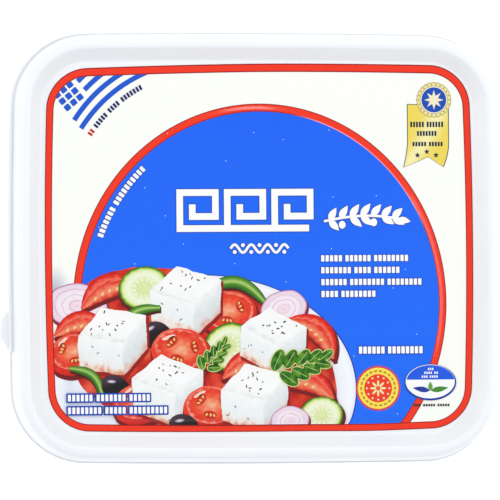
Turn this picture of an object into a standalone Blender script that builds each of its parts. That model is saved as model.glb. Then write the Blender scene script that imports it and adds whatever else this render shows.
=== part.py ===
"""A shut rectangular tub for white cheese in brine: moulded tub, press-fit lid and tear strip.

Units are metres and +Z is up. +X runs along the lid's length, +Y to its far side, and the
origin is the middle of the base, on the surface that the tub stands on.
"""
import math

import bmesh
import bpy
import numpy as np

MM = 0.001

# Lid, seen from above
LID_LENGTH = 180.4 * MM
LID_WIDTH = 157.0 * MM
LID_CORNER_RADIUS = 26.0 * MM
SIDE_BOW = np.array([1.25, 0.95]) * MM
PANEL_INSET = 10.5 * MM

# Lid, in section
TOTAL_HEIGHT = 85.0 * MM
SKIRT_DEPTH = 12.0 * MM
SKIRT_LEAN = 1.4 * MM
PANEL_DEPTH = 4.5 * MM
BEAD_WIDTH = 5.0 * MM
SLOPE_FOOT_INSET = 9.9 * MM
SHOULDER_RADIUS = 3.0 * MM
BEAD_INNER_RADIUS = 2.0 * MM
SLOPE_FOOT_RADIUS = 1.3 * MM
LID_WALL = 1.2 * MM
CLEARANCE = 0.3 * MM

# Raised oval field on the lid's panel
OVAL_HALF_X = 66.3 * MM
OVAL_HALF_Y = 70.2 * MM
OVAL_CENTRE_Y = -20.5 * MM
OVAL_RISE = 0.7 * MM
OVAL_RAMP = 3.0 * MM
OVAL_RAMP_STEPS = 4
OVAL_CUT_Y = -61.5 * MM
OVAL_CUT_SHARPNESS = 30
OVAL_STEPS = 80

# Tub body
BASE_INSET = 15.0 * MM
BASE_CORNER_RADIUS = 17.0 * MM
BASE_EDGE_RADIUS = 3.0 * MM
WALL_TOP_INSET = 7.6 * MM
WALL_TOP_HEIGHT = 63.0 * MM
LEDGE_WIDTH = 1.3 * MM
LEDGE_RISE = 1.5 * MM
COLLAR_THICKNESS = 2.4 * MM
COLLAR_INSET = -0.55 * MM
COLLAR_RADIUS = 0.8 * MM
FOOT_GROOVE_INSET = 23.0 * MM
FOOT_GROOVE_WIDTH = 3.0 * MM
FOOT_GROOVE_DEPTH = 0.8 * MM

# Tear strip along the skirt, with its pull tab on the left side
STRIP_HEIGHT = 3.0 * MM
STRIP_THICKNESS = 1.4 * MM
STRIP_RAISE = 0.6 * MM
STRIP_END_X = -62.3 * MM
STRIP_END_SHARE = 0.25
TAB_FAR_Y = -23.4 * MM
TAB_NEAR_Y = -37.7 * MM
TAB_REACH = 4.0 * MM
TAB_THICKNESS = 1.2 * MM
TAB_EDGE_RADIUS = 0.3 * MM
TAB_ROOT_OVERLAP = 0.3 * MM
TAB_CURVE_LENGTH = 5.6 * MM
TAB_SLANT_LENGTH = 5.2 * MM
TAB_CURVE_STEPS = 6

# Steps of the curves
CORNER_STEPS = 11
SIDE_STEPS = 6
PROFILE_ARC_STEPS = 4
SMOOTH_ANGLE = math.radians(32)

# Colours, linear
WHITE_PLASTIC = (0.88, 0.89, 0.90, 1.0)
LID_PLASTIC = (0.91, 0.92, 0.93, 1.0)
STRIP_PLASTIC = (0.80, 0.81, 0.83, 1.0)


def clear_scene():
    """Remove every object, so that the script can be run again."""
    for old in list(bpy.data.objects):
        bpy.data.objects.remove(old, do_unlink=True)


def plastic(name, colour, roughness):
    """A plain moulded plastic."""
    material = bpy.data.materials.new(name)
    material.use_nodes = True
    shader = material.node_tree.nodes["Principled BSDF"]
    shader.inputs["Base Color"].default_value = colour
    shader.inputs["Roughness"].default_value = roughness
    shader.inputs["Metallic"].default_value = 0.0
    return material


def add_object(name, mesh, material):
    """Put a mesh in the scene under a name, smooth apart from its sharp edges."""
    mesh.materials.append(material)
    mesh.shade_smooth()
    mesh.set_sharp_from_angle(angle=SMOOTH_ANGLE)
    piece = bpy.data.objects.new(name, mesh)
    bpy.context.scene.collection.objects.link(piece)
    return piece


def outline(inset, corner_radius):
    """The lid's outline moved inwards: a round-cornered rectangle whose sides bow out a little.

    The points run anticlockwise from the start of the +X +Y corner, an arc and then a side,
    four times. The bow draws the corners in and leaves the middle of each side where it is.
    """
    half = np.array([LID_LENGTH / 2 - inset, LID_WIDTH / 2 - inset])
    runs = []
    arc_ends = []
    for corner in range(4):
        angle = math.pi / 2 * corner + np.linspace(0.0, math.pi / 2, CORNER_STEPS + 1)
        direction = np.column_stack([np.cos(angle), np.sin(angle)])
        quadrant = np.sign(direction[CORNER_STEPS // 2])
        arc_ends.append(quadrant * (half - corner_radius) + corner_radius * direction)
    for corner in range(4):
        start = arc_ends[corner][-1]
        end = arc_ends[(corner + 1) % 4][0]
        share = np.linspace(0.0, 1.0, SIDE_STEPS + 1)[1:-1, None]
        runs.append(arc_ends[corner])
        runs.append(start + (end - start) * share)
    points = np.concatenate(runs)
    along = points / half
    return points - SIDE_BOW * along * along[:, ::-1] ** 2


def lid_corner(inset):
    """Corner radius of the lid's outline at an inset, as for a line of constant distance."""
    return LID_CORNER_RADIUS - inset


def ring(inset, height, corner_radius):
    """One closed loop of points at a height."""
    flat = outline(inset, corner_radius)
    return np.column_stack([flat, np.full(len(flat), height)])


def rounded_profile(corners):
    """A path of (inset, height) through the corners, each one rounded by its own radius.

    Corners are (inset, height, radius), and a radius of 0 leaves the corner sharp.
    """
    points = [np.array(corners[0][:2])]
    for before, here, after in zip(corners, corners[1:], corners[2:]):
        tip = np.array(here[:2])
        to_before = np.array(before[:2]) - tip
        to_after = np.array(after[:2]) - tip
        to_before /= np.linalg.norm(to_before)
        to_after /= np.linalg.norm(to_after)
        radius = here[2]
        if radius == 0.0:
            points.append(tip)
            continue
        half_angle = math.acos(float(np.clip(to_before @ to_after, -1.0, 1.0))) / 2
        bisector = (to_before + to_after) / np.linalg.norm(to_before + to_after)
        centre = tip + bisector * radius / math.sin(half_angle)
        first = tip + to_before * radius / math.tan(half_angle) - centre
        last = tip + to_after * radius / math.tan(half_angle) - centre
        sweep = math.pi - 2 * half_angle
        for share in np.linspace(0.0, 1.0, PROFILE_ARC_STEPS + 1):
            blend = first * math.sin((1 - share) * sweep) + last * math.sin(share * sweep)
            points.append(centre + blend / math.sin(sweep))
    points.append(np.array(corners[-1][:2]))
    return np.array(points)


def offset_profile(profile, distance):
    """The same path moved sideways by a distance, to the right of its direction."""
    legs = np.diff(profile, axis=0)
    legs /= np.linalg.norm(legs, axis=1)[:, None]
    sides = np.column_stack([legs[:, 1], -legs[:, 0]])
    before = np.vstack([sides[:1], sides])
    after = np.vstack([sides, sides[-1:]])
    mitre = before + after
    mitre /= np.sum(mitre * before, axis=1)[:, None]
    return profile + distance * mitre


def loft(name, rings):
    """A closed mesh through rings of equal length, with a flat face over the first and the last."""
    count = len(rings[0])
    points = np.concatenate(rings)
    shape = bmesh.new()
    verts = [shape.verts.new(point) for point in points]
    for level in range(len(rings) - 1):
        low = level * count
        for step in range(count):
            following = (step + 1) % count
            quad = [low + step, low + following, low + count + following, low + count + step]
            shape.faces.new([verts[corner] for corner in quad])
    shape.faces.new(verts[:count])
    shape.faces.new(verts[-count:])
    bmesh.ops.recalc_face_normals(shape, faces=shape.faces)
    mesh = bpy.data.meshes.new(name)
    shape.to_mesh(mesh)
    shape.free()
    return mesh


def fuse(piece, other):
    """Join another object to a piece by a Boolean union, and keep the other as a hidden guide."""
    other.hide_render = True
    other.display_type = "WIRE"
    union = piece.modifiers.new("fuse_" + other.name, "BOOLEAN")
    union.operation = "UNION"
    union.solver = "EXACT"
    union.object = other


def lid_section():
    """The lid's upper face in section, from the foot of the skirt over the bead to the panel."""
    panel_height = TOTAL_HEIGHT - PANEL_DEPTH
    return rounded_profile([
        (0.0, TOTAL_HEIGHT - SKIRT_DEPTH, 0.0),
        (SKIRT_LEAN, TOTAL_HEIGHT, SHOULDER_RADIUS),
        (BEAD_WIDTH, TOTAL_HEIGHT, BEAD_INNER_RADIUS),
        (SLOPE_FOOT_INSET, panel_height, SLOPE_FOOT_RADIUS),
        (PANEL_INSET + LID_WALL, panel_height, 0.0),
    ])


def oval_loop(grow, height):
    """The raised field's edge: an oval, cut off straight where it nears the panel's near side.

    For each direction from the oval's centre, the nearer of the two curves is taken, with a
    high power mean in place of the plain minimum, so that they meet in a small round corner.
    """
    angle = np.linspace(0.0, 2 * math.pi, OVAL_STEPS, endpoint=False)
    direction = np.column_stack([np.cos(angle), np.sin(angle)])
    half_axes = np.array([OVAL_HALF_X + grow, OVAL_HALF_Y + grow])
    oval_nearness = np.linalg.norm(direction / half_axes, axis=1)
    cut_nearness = np.maximum(direction[:, 1] / (OVAL_CUT_Y - grow - OVAL_CENTRE_Y), 0.0)
    power = OVAL_CUT_SHARPNESS
    reach = (oval_nearness ** power + cut_nearness ** power) ** (-1 / power)
    flat = direction * reach[:, None] + [0.0, OVAL_CENTRE_Y]
    return np.column_stack([flat, np.full(OVAL_STEPS, height)])


def build_lid(material):
    """The lid: skirt, rounded bead, slope and sunk panel in one wall, with the oval field raised.

    The oval rises from the panel over a ramp that follows half a cosine wave.
    """
    upper = lid_section()
    under = offset_profile(upper, LID_WALL)
    under[0] = [LID_WALL, TOTAL_HEIGHT - SKIRT_DEPTH]
    section = np.vstack([under[::-1], upper])
    rings = [ring(inset, height, lid_corner(inset)) for inset, height in section]
    lid = add_object("lid", loft("lid", rings), material)

    panel_height = TOTAL_HEIGHT - PANEL_DEPTH
    oval_rings = [oval_loop(OVAL_RAMP, panel_height - LID_WALL / 2)]
    for share in np.linspace(0.0, 1.0, OVAL_RAMP_STEPS + 1):
        rise = OVAL_RISE * (1 - math.cos(math.pi * share)) / 2
        oval_rings.append(oval_loop(OVAL_RAMP * (1 - share), panel_height + rise))
    oval = add_object("lid_oval_guide", loft("lid_oval_guide", oval_rings), material)
    fuse(lid, oval)


def tub_corner(inset):
    """Corner radius of the tub's outline at an inset.

    The collar and rim keep a constant distance from the lid's outline, as the underside does
    from the base's, and down the wall the radius changes evenly between the two.
    """
    if inset <= WALL_TOP_INSET:
        return lid_corner(inset)
    if inset > BASE_INSET:
        return BASE_CORNER_RADIUS - (inset - BASE_INSET)
    share = (inset - WALL_TOP_INSET) / (BASE_INSET - WALL_TOP_INSET)
    top_radius = lid_corner(WALL_TOP_INSET)
    return top_radius + share * (BASE_CORNER_RADIUS - top_radius)


def build_tub(material):
    """The filled tub: tapering walls, stacking ledge, collar, and a rim that fills the lid."""
    ledge_inset = WALL_TOP_INSET - LEDGE_WIDTH
    ledge_height = WALL_TOP_HEIGHT + LEDGE_RISE
    collar_top = TOTAL_HEIGHT - SKIRT_DEPTH - CLEARANCE
    collar_low = collar_top - COLLAR_THICKNESS
    groove_inner = FOOT_GROOVE_INSET + FOOT_GROOVE_WIDTH

    body = rounded_profile([
        (groove_inner, 0.0, 0.0),
        (groove_inner - FOOT_GROOVE_DEPTH, FOOT_GROOVE_DEPTH, 0.0),
        (FOOT_GROOVE_INSET + FOOT_GROOVE_DEPTH, FOOT_GROOVE_DEPTH, 0.0),
        (FOOT_GROOVE_INSET, 0.0, 0.0),
        (BASE_INSET, 0.0, BASE_EDGE_RADIUS),
        (WALL_TOP_INSET, WALL_TOP_HEIGHT, 0.0),
        (ledge_inset, ledge_height, 0.0),
        (ledge_inset, collar_low, COLLAR_RADIUS),
        (COLLAR_INSET, collar_low, COLLAR_RADIUS),
        (COLLAR_INSET, collar_top, COLLAR_RADIUS),
        (LID_WALL + CLEARANCE, collar_top, 0.0),
    ])
    rim = offset_profile(lid_section(), LID_WALL + CLEARANCE)[1:]
    section = np.vstack([body, rim])
    rings = [ring(inset, height, tub_corner(inset)) for inset, height in section]
    add_object("tub", loft("tub", rings), material)


def strip_stations():
    """Places along the outline's points, as fractional indices, that the tear strip passes.

    It starts near the end of the far side, turns the far left corner and runs down the left
    side to the tab.
    """
    flat = outline(0.0, lid_corner(0.0))
    index = np.arange(len(flat))
    far_side = index[CORNER_STEPS + SIDE_STEPS:CORNER_STEPS - 1:-1]
    left_side = index[2 * (CORNER_STEPS + SIDE_STEPS):2 * CORNER_STEPS + SIDE_STEPS - 1:-1]
    first = np.interp(STRIP_END_X, flat[far_side, 0], far_side)
    last = np.interp(TAB_NEAR_Y, flat[left_side, 1], left_side)
    return np.concatenate([[first], np.arange(math.ceil(first), math.floor(last) + 1), [last]])


def strip_run(inset, height, stations):
    """The outline's points at the strip's stations, at a height."""
    flat = outline(inset, lid_corner(inset))
    index = np.arange(len(flat))
    x = np.interp(stations, index, flat[:, 0])
    y = np.interp(stations, index, flat[:, 1])
    return np.column_stack([x, y, np.full(len(stations), height)])


def tab_loop(height):
    """The tab in plan: a soft curve outwards at its far end and a straight slant at its near end."""
    root_x = -LID_LENGTH / 2 - CLEARANCE - TAB_ROOT_OVERLAP
    tip_x = -LID_LENGTH / 2 - TAB_REACH
    strip_x = -LID_LENGTH / 2 - CLEARANCE - STRIP_THICKNESS / 2
    turn = np.linspace(0.0, math.pi / 2, TAB_CURVE_STEPS + 1)
    far = np.column_stack([
        strip_x + (tip_x - strip_x) * np.sin(turn),
        TAB_FAR_Y - TAB_CURVE_LENGTH * (1 - np.cos(turn)),
    ])
    near = np.array([
        [tip_x, TAB_NEAR_Y + TAB_SLANT_LENGTH],
        [strip_x, TAB_NEAR_Y],
        [root_x, TAB_NEAR_Y],
        [root_x, TAB_FAR_Y],
    ])
    flat = np.vstack([far, near])
    return np.column_stack([flat, np.full(len(flat), height)])


def strip_edge(height, layer, stations):
    """One long edge of the tear strip, at a height, on its inner side (0) or its outer side (1).

    The strip thins out evenly round the corner, to a share of its thickness at its far end.
    """
    skirt_inset = SKIRT_LEAN / SKIRT_DEPTH * (height - TOTAL_HEIGHT + SKIRT_DEPTH)
    inner = strip_run(skirt_inset - CLEARANCE, height, stations)
    outer = strip_run(skirt_inset - CLEARANCE - STRIP_THICKNESS, height, stations)
    round_corner = np.clip((stations - stations[0]) / CORNER_STEPS, 0.0, 1.0)
    share = layer * (STRIP_END_SHARE + (1 - STRIP_END_SHARE) * round_corner)
    return inner + (outer - inner) * share[:, None]


def build_tear_strip(material):
    """The tear strip: a flat band just outside the skirt, with a flat pull tab at its near end."""
    low = TOTAL_HEIGHT - SKIRT_DEPTH + STRIP_RAISE
    high = low + STRIP_HEIGHT
    stations = strip_stations()
    corners = ((low, 0), (high, 0), (high, 1), (low, 1))
    edges = [strip_edge(height, layer, stations) for height, layer in corners]
    rings = list(np.stack(edges, axis=1))
    strip = add_object("tear_strip", loft("tear_strip", rings), material)

    middle = (low + high) / 2
    tab_low = tab_loop(middle - TAB_THICKNESS / 2)
    tab_high = tab_loop(middle + TAB_THICKNESS / 2)
    tab = add_object("tear_tab_guide", loft("tear_tab_guide", [tab_low, tab_high]), material)
    soft_edges = tab.modifiers.new("soft_edges", "BEVEL")
    soft_edges.width = TAB_EDGE_RADIUS
    soft_edges.segments = 2
    soft_edges.limit_method = "ANGLE"
    fuse(strip, tab)


def main():
    """Build the three pieces of the shut tub."""
    clear_scene()
    build_tub(plastic("tub_white", WHITE_PLASTIC, 0.38))
    build_lid(plastic("lid_white", LID_PLASTIC, 0.30))
    build_tear_strip(plastic("strip_white", STRIP_PLASTIC, 0.35))


main()
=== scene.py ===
"""Looks of a shut white plastic tub of cheese with a printed lid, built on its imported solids.

The lid, tub and tear strip are finer surfaces of the same form as their solids. The print is a
set of thin closed layers of ink on the lid's sunk panel, each one a field of colour worked out
from a few curves. Sizes are in millimetres until a mesh is made, and in metres from there on.
"""

import logging
import math
from dataclasses import dataclass, field, replace
from enum import Enum
from typing import Callable, Iterable, Sequence

import bmesh
import bpy
import numpy as np
from mathutils import Matrix, Vector


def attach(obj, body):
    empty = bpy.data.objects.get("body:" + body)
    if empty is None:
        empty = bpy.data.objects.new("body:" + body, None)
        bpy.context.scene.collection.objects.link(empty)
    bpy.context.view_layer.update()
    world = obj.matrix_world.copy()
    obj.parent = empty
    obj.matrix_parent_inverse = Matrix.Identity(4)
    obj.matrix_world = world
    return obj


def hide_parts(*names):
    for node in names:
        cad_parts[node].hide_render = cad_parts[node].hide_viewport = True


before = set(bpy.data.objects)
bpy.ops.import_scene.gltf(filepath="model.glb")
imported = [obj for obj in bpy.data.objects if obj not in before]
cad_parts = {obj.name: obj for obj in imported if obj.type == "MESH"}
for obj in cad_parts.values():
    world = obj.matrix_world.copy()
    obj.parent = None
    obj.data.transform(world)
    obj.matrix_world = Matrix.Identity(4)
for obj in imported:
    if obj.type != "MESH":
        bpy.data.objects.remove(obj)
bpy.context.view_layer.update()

LOG = logging.getLogger("tub")
MM = 0.001
TURN = 2 * math.pi
IMAGE_SIDE = 500
SMOOTH_ANGLE = math.radians(32)
BODY = "root"
POLYPROPYLENE_IOR = 1.49

Array = np.ndarray
Tint = Callable[[Array, Array, Array], Array]
Stops = Sequence[tuple[float, str]]


# Colour

def linear(code: str) -> Array:
    """Turn an sRGB hex colour into linear light.

    Args:
        code: six hex digits after a hash sign.

    Returns:
        Red, green and blue in linear light.
    """
    share = np.array([int(code[place:place + 2], 16) for place in (1, 3, 5)]) / 255
    return np.where(share <= 0.04045, share / 12.92, ((share + 0.055) / 1.055) ** 2.4)


def rgba(code: str) -> tuple[float, float, float, float]:
    """The linear colour of a hex code with full opacity."""
    red, green, blue = linear(code)
    return (float(red), float(green), float(blue), 1.0)


STUDIO_LEVEL = 1.2
GLOSS_VEIL = 0.019
DARKEST_INK = 0.002
LIGHTEST_INK = 0.86


def printed(code: str) -> Array:
    """The reflectance of a print colour, from the hex colour that it has in the studio.

    The studio lights a white card brighter than display white by STUDIO_LEVEL, and the film's
    gloss lays a faint veil over every ink, so the colour is divided by the one and lowered by
    the other.
    """
    return np.clip(linear(code) / STUDIO_LEVEL - GLOSS_VEIL, DARKEST_INK, LIGHTEST_INK)


class Ink(Enum):
    """Inks of the lid's print, as they look under the studio lights."""

    CREAM = "#FEFFF8"
    WHITE = "#FFFFFD"
    RED = "#F8422F"
    RED_SHADE = "#9A1C16"
    GOLD = "#F2DC62"
    GOLD_PALE = "#FBF3B4"

    def light(self) -> Array:
        """The ink's reflectance."""
        return printed(self.value)


def blend(low: Array, high: Array, share: Array) -> Array:
    """Mix two colours by an array of shares from 0 to 1."""
    part = np.clip(share, 0.0, 1.0)[:, None]
    return low * (1 - part) + high * part


def stops(share: Array, table: Stops) -> Array:
    """Read a colour at each share off a table of stops.

    Args:
        share: places between the stops.
        table: rising places with the hex colour at each.

    Returns:
        One reflectance for each share.
    """
    places = [place for place, _ in table]
    colours = np.array([printed(code) for _, code in table])
    return np.column_stack([np.interp(share, places, colours[:, channel]) for channel in range(3)])


def flat(colour: Array) -> Tint:
    """A tint that is the same all over."""
    return lambda points, across, along: np.tile(colour, (len(points), 1))


def solid(code: str) -> Tint:
    """A tint of one hex colour all over."""
    return flat(printed(code))


def ripple(points: Array, length: float, seed: float) -> Array:
    """Smooth noise between -1 and 1: the mean of five sine waves in turned directions.

    Its fixed numbers only keep the waves' directions, lengths and phases apart.

    Args:
        points: places in the plane.
        length: the mean wavelength in millimetres.
        seed: moves and turns the waves.

    Returns:
        One value for each point.
    """
    order = np.arange(5)
    angle = seed * 1.7 + order * 2.4
    directions = np.stack([np.cos(angle), np.sin(angle)])
    waves = points @ directions / length * (0.7 + 0.23 * order)
    return np.sin(TURN * waves + seed * 5.1 + order * 1.3).mean(axis=1)


def graded(table: Stops, amount: float = 0.0, length: float = 1.0, seed: float = 0.0) -> Tint:
    """A tint read off a table by the share across, which smooth noise may move.

    Args:
        table: rising places with the hex colour at each.
        amount: how far the noise moves the share.
        length: the noise's mean wavelength in millimetres.
        seed: its seed.

    Returns:
        The tint.
    """
    return lambda points, across, along: stops(across + amount * ripple(points, length, seed), table)


def mottled(table: Stops, amount: float, length: float, seed: float) -> Tint:
    """A tint of soft patches: smooth noise about the middle of a table of colours."""
    return lambda points, across, along: stops(0.5 + amount * ripple(points, length, seed), table)


# Curves in the plane

def turned(angle: float) -> Array:
    """The matrix that turns row vectors anticlockwise by an angle in radians."""
    return np.array([[math.cos(angle), math.sin(angle)], [-math.sin(angle), math.cos(angle)]])


def unit(angle: float) -> Array:
    """The unit vector at an angle in radians, anticlockwise from +X."""
    return np.array([math.cos(angle), math.sin(angle)])


def units(angles: Array) -> Array:
    """The unit vectors at many angles in radians, one a row."""
    return np.column_stack([np.cos(angles), np.sin(angles)])


def full_turn(count: int) -> Array:
    """Evenly spaced angles once round, in radians."""
    return np.linspace(0.0, TURN, count, endpoint=False)


def ellipse(centre: Sequence[float], half: Sequence[float], angle: float = 0.0, count: int = 56) -> Array:
    """An ellipse as an anticlockwise loop of points.

    Args:
        centre: its middle.
        half: its half axes.
        angle: its turn in radians.
        count: the number of points.

    Returns:
        The points, one a row.
    """
    way = full_turn(count)
    local = np.column_stack([half[0] * np.cos(way), half[1] * np.sin(way)])
    return np.asarray(centre) + local @ turned(angle)


def round_rectangle(half: Array, radius: float, bow: Array, corner_steps: int, side_steps: int) -> Array:
    """A round-cornered rectangle whose sides bow out, as an anticlockwise loop.

    The points run from the start of the +X +Y corner, an arc and then a side, four times. The
    bow draws the corners in: each coordinate loses its bow times its own share of the half
    side times the square of the other's.

    Args:
        half: half length and half width at the middle of the sides.
        radius: the corner radius.
        bow: how far the corners are drawn in along X and along Y.
        corner_steps: steps along each corner.
        side_steps: steps along each side.

    Returns:
        The points, one a row.
    """
    quarter = np.linspace(0.0, math.pi / 2, corner_steps + 1)
    angle = np.arange(4)[:, None] * math.pi / 2 + quarter
    direction = np.stack([np.cos(angle), np.sin(angle)], axis=-1)
    quadrant = np.array([[1, 1], [-1, 1], [-1, -1], [1, -1]])[:, None, :]
    arcs = quadrant * (half - radius) + radius * direction
    share = np.linspace(0.0, 1.0, side_steps + 1)[1:-1, None]
    starts = arcs[:, -1][:, None, :]
    ends = np.roll(arcs[:, 0], -1, axis=0)[:, None, :]
    sides = starts + (ends - starts) * share
    points = np.concatenate([arcs, sides], axis=1).reshape(-1, 2)
    along = points / half
    return points - bow * along * along[:, ::-1] ** 2


def moved_sideways(path: Array, distance: float | Array) -> Array:
    """A path moved to the right of its direction, with mitred corners.

    Args:
        path: the points of an open path.
        distance: how far, for the whole path or for each point.

    Returns:
        The moved points.
    """
    legs = np.diff(path, axis=0)
    legs = legs / np.linalg.norm(legs, axis=1)[:, None]
    sides = np.column_stack([legs[:, 1], -legs[:, 0]])
    before = np.vstack([sides[:1], sides])
    after = np.vstack([sides, sides[-1:]])
    mitre = before + after
    mitre = mitre / np.sum(mitre * before, axis=1)[:, None]
    return path + np.broadcast_to(distance, len(path))[:, None] * mitre


def rounded_path(corners: Sequence[tuple[float, float, float]], steps: int) -> Array:
    """A path through corners, each rounded by an arc that touches both of its legs.

    Args:
        corners: (across, height, radius) of each corner, and a radius of 0 stays sharp.
        steps: steps along each arc.

    Returns:
        The path's points, one a row.
    """
    points = [np.array(corners[0][:2])]
    for before, here, after in zip(corners, corners[1:], corners[2:]):
        tip = np.array(here[:2])
        if here[2] == 0.0:
            points.append(tip)
            continue
        to_before = np.array(before[:2]) - tip
        to_after = np.array(after[:2]) - tip
        to_before = to_before / np.linalg.norm(to_before)
        to_after = to_after / np.linalg.norm(to_after)
        half_angle = math.acos(float(np.clip(to_before @ to_after, -1.0, 1.0))) / 2
        middle = (to_before + to_after) / np.linalg.norm(to_before + to_after)
        centre = tip + middle * here[2] / math.sin(half_angle)
        reach = here[2] / math.tan(half_angle)
        first, last = tip + to_before * reach - centre, tip + to_after * reach - centre
        sweep = math.pi - 2 * half_angle
        share = np.linspace(0.0, 1.0, steps + 1)[:, None]
        arc = first * np.sin((1 - share) * sweep) + last * np.sin(share * sweep)
        points.extend(centre + arc / math.sin(sweep))
    points.append(np.array(corners[-1][:2]))
    return np.array(points)


# Meshes

def grid_faces(rows: int, columns: int, wrap: bool) -> Array:
    """Quads between the neighbouring points of a grid.

    Args:
        rows: number of rows.
        columns: number of points in a row.
        wrap: whether the last column meets the first.

    Returns:
        Four point numbers for each quad, anticlockwise where rows run inwards or upwards
        from an anticlockwise loop.
    """
    row = np.arange(rows - 1)[:, None] * columns
    step = np.arange(columns if wrap else columns - 1)[None, :]
    following = (step + 1) % columns
    corners = [row + step, row + following, row + columns + following, row + columns + step]
    return np.stack(corners, axis=-1).reshape(-1, 4)


def tip_faces(ring: Array, tip: int) -> Array:
    """Triangles from each side of a ring of point numbers to the number of a tip."""
    return np.column_stack([ring, np.roll(ring, -1), np.full(len(ring), tip)])


def end_faces(rows: int, columns: int) -> Array:
    """The triangles that close a tube of rings at both ends.

    Args:
        rows: number of rings.
        columns: number of points in a ring.

    Returns:
        Three point numbers for each triangle. The tips of the first and the last ring come
        right after the rings' points.
    """
    low = np.arange(columns)
    first, last = rows * columns, rows * columns + 1
    return np.vstack([tip_faces(low, first)[:, [2, 1, 0]], tip_faces(low + first - columns, last)])


def new_mesh(name: str, points: Array, quads: Array, triangles: Array) -> bpy.types.Mesh:
    """Make a mesh from points in millimetres, smooth apart from its sharp edges.

    Args:
        name: the mesh's name.
        points: one point a row.
        quads: four point numbers a row.
        triangles: three point numbers a row.

    Returns:
        The mesh, in metres.
    """
    mesh = bpy.data.meshes.new(name)
    mesh.from_pydata((points * MM).tolist(), [], quads.tolist() + triangles.tolist())
    mesh.shade_smooth()
    mesh.set_sharp_from_angle(angle=SMOOTH_ANGLE)
    return mesh


def faces_outwards(mesh: bpy.types.Mesh) -> None:
    """Turn every face of a closed mesh outwards."""
    shape = bmesh.new()
    shape.from_mesh(mesh)
    bmesh.ops.recalc_face_normals(shape, faces=shape.faces)
    shape.to_mesh(mesh)
    shape.free()


def closed_loft(name: str, rings: Array, first: Array, last: Array) -> bpy.types.Mesh:
    """A closed surface through anticlockwise rings, drawn together at a point at each end.

    Args:
        name: the mesh's name.
        rings: (rings, points, 3) places, from the underside's middle outwards and over the top.
        first: the point that closes the first ring.
        last: the point that closes the last ring.

    Returns:
        The mesh.
    """
    rows, columns = rings.shape[:2]
    points = np.vstack([rings.reshape(-1, 3), first, last])
    return new_mesh(name, points, grid_faces(rows, columns, True), end_faces(rows, columns))


def new_object(name: str, data: bpy.types.ID) -> bpy.types.Object:
    """Put an object for a mesh, a lamp or a camera in the scene."""
    thing = bpy.data.objects.new(name, data)
    bpy.context.scene.collection.objects.link(thing)
    return thing


def add_piece(mesh: bpy.types.Mesh, material: bpy.types.Material,
              replaced: Sequence[str] = ()) -> bpy.types.Object:
    """Put a piece in the scene, on the part's body and in its material slot.

    Args:
        mesh: the piece's mesh, which also gives it its name.
        material: its finish.
        replaced: names of the solids that it stands for.

    Returns:
        The piece.
    """
    mesh.materials.append(material)
    piece = new_object(mesh.name, mesh)
    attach(piece, BODY)
    if replaced:
        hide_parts(*replaced)
    LOG.info("%s: %d points, %d faces", piece.name, len(mesh.vertices), len(mesh.polygons))
    return piece


# Finishes

def add_node(tree: bpy.types.NodeTree, kind: str, settings: dict[str, object] | None = None,
             inputs: dict[str | int, object] | None = None) -> bpy.types.Node:
    """Add a node with its settings and its inputs.

    Args:
        tree: the node tree.
        kind: the node's type name.
        settings: property names with their values.
        inputs: socket names or numbers, each with a value or with the output to link to it.

    Returns:
        The node.
    """
    node = tree.nodes.new(kind)
    for name, value in (settings or {}).items():
        setattr(node, name, value)
    for name, value in (inputs or {}).items():
        if isinstance(value, bpy.types.NodeSocket):
            tree.links.new(value, node.inputs[name])
        else:
            node.inputs[name].default_value = value
    return node


class Surface:
    """A node material that is being made, with the object's own coordinates as its place."""

    def __init__(self, name: str) -> None:
        """Start an empty material."""
        self.material = bpy.data.materials.new(name)
        self.material.use_nodes = True
        self.tree = self.material.node_tree
        self.tree.nodes.clear()
        self.place = add_node(self.tree, "ShaderNodeTexCoord").outputs["Object"]

    def noise(self, length_mm: float, detail: float, roughness: float = 0.5) -> bpy.types.NodeSocket:
        """Noise of a wavelength in millimetres."""
        return add_node(self.tree, "ShaderNodeTexNoise", inputs={
            "Vector": self.place, "Scale": 1 / (length_mm * MM), "Detail": detail,
            "Roughness": roughness}).outputs["Fac"]

    def mix(self, share: object, first: object, second: object, kind: str = "MIX") -> bpy.types.NodeSocket:
        """Two colours mixed by a share."""
        return add_node(self.tree, "ShaderNodeMix", {"data_type": "RGBA", "blend_type": kind}, {
            0: share, 6: first, 7: second}).outputs[2]

    def between(self, value: bpy.types.NodeSocket, low: float, high: float) -> bpy.types.NodeSocket:
        """A value from 0 to 1 brought between two others."""
        return add_node(self.tree, "ShaderNodeMapRange", inputs={
            "Value": value, "To Min": low, "To Max": high}).outputs["Result"]

    def bump(self, height: bpy.types.NodeSocket, strength: float, depth_mm: float,
             base: bpy.types.NodeSocket | None = None) -> bpy.types.NodeSocket:
        """A normal roughened by a height, on top of another normal if there is one."""
        inputs = {"Height": height, "Strength": strength, "Distance": depth_mm * MM}
        if base is not None:
            inputs["Normal"] = base
        return add_node(self.tree, "ShaderNodeBump", inputs=inputs).outputs["Normal"]

    def finished(self, inputs: dict[str, object]) -> bpy.types.Material:
        """The material, with its shader's inputs set."""
        shader = add_node(self.tree, "ShaderNodeBsdfPrincipled", inputs=inputs)
        add_node(self.tree, "ShaderNodeOutputMaterial", inputs={"Surface": shader.outputs["BSDF"]})
        return self.material


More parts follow.
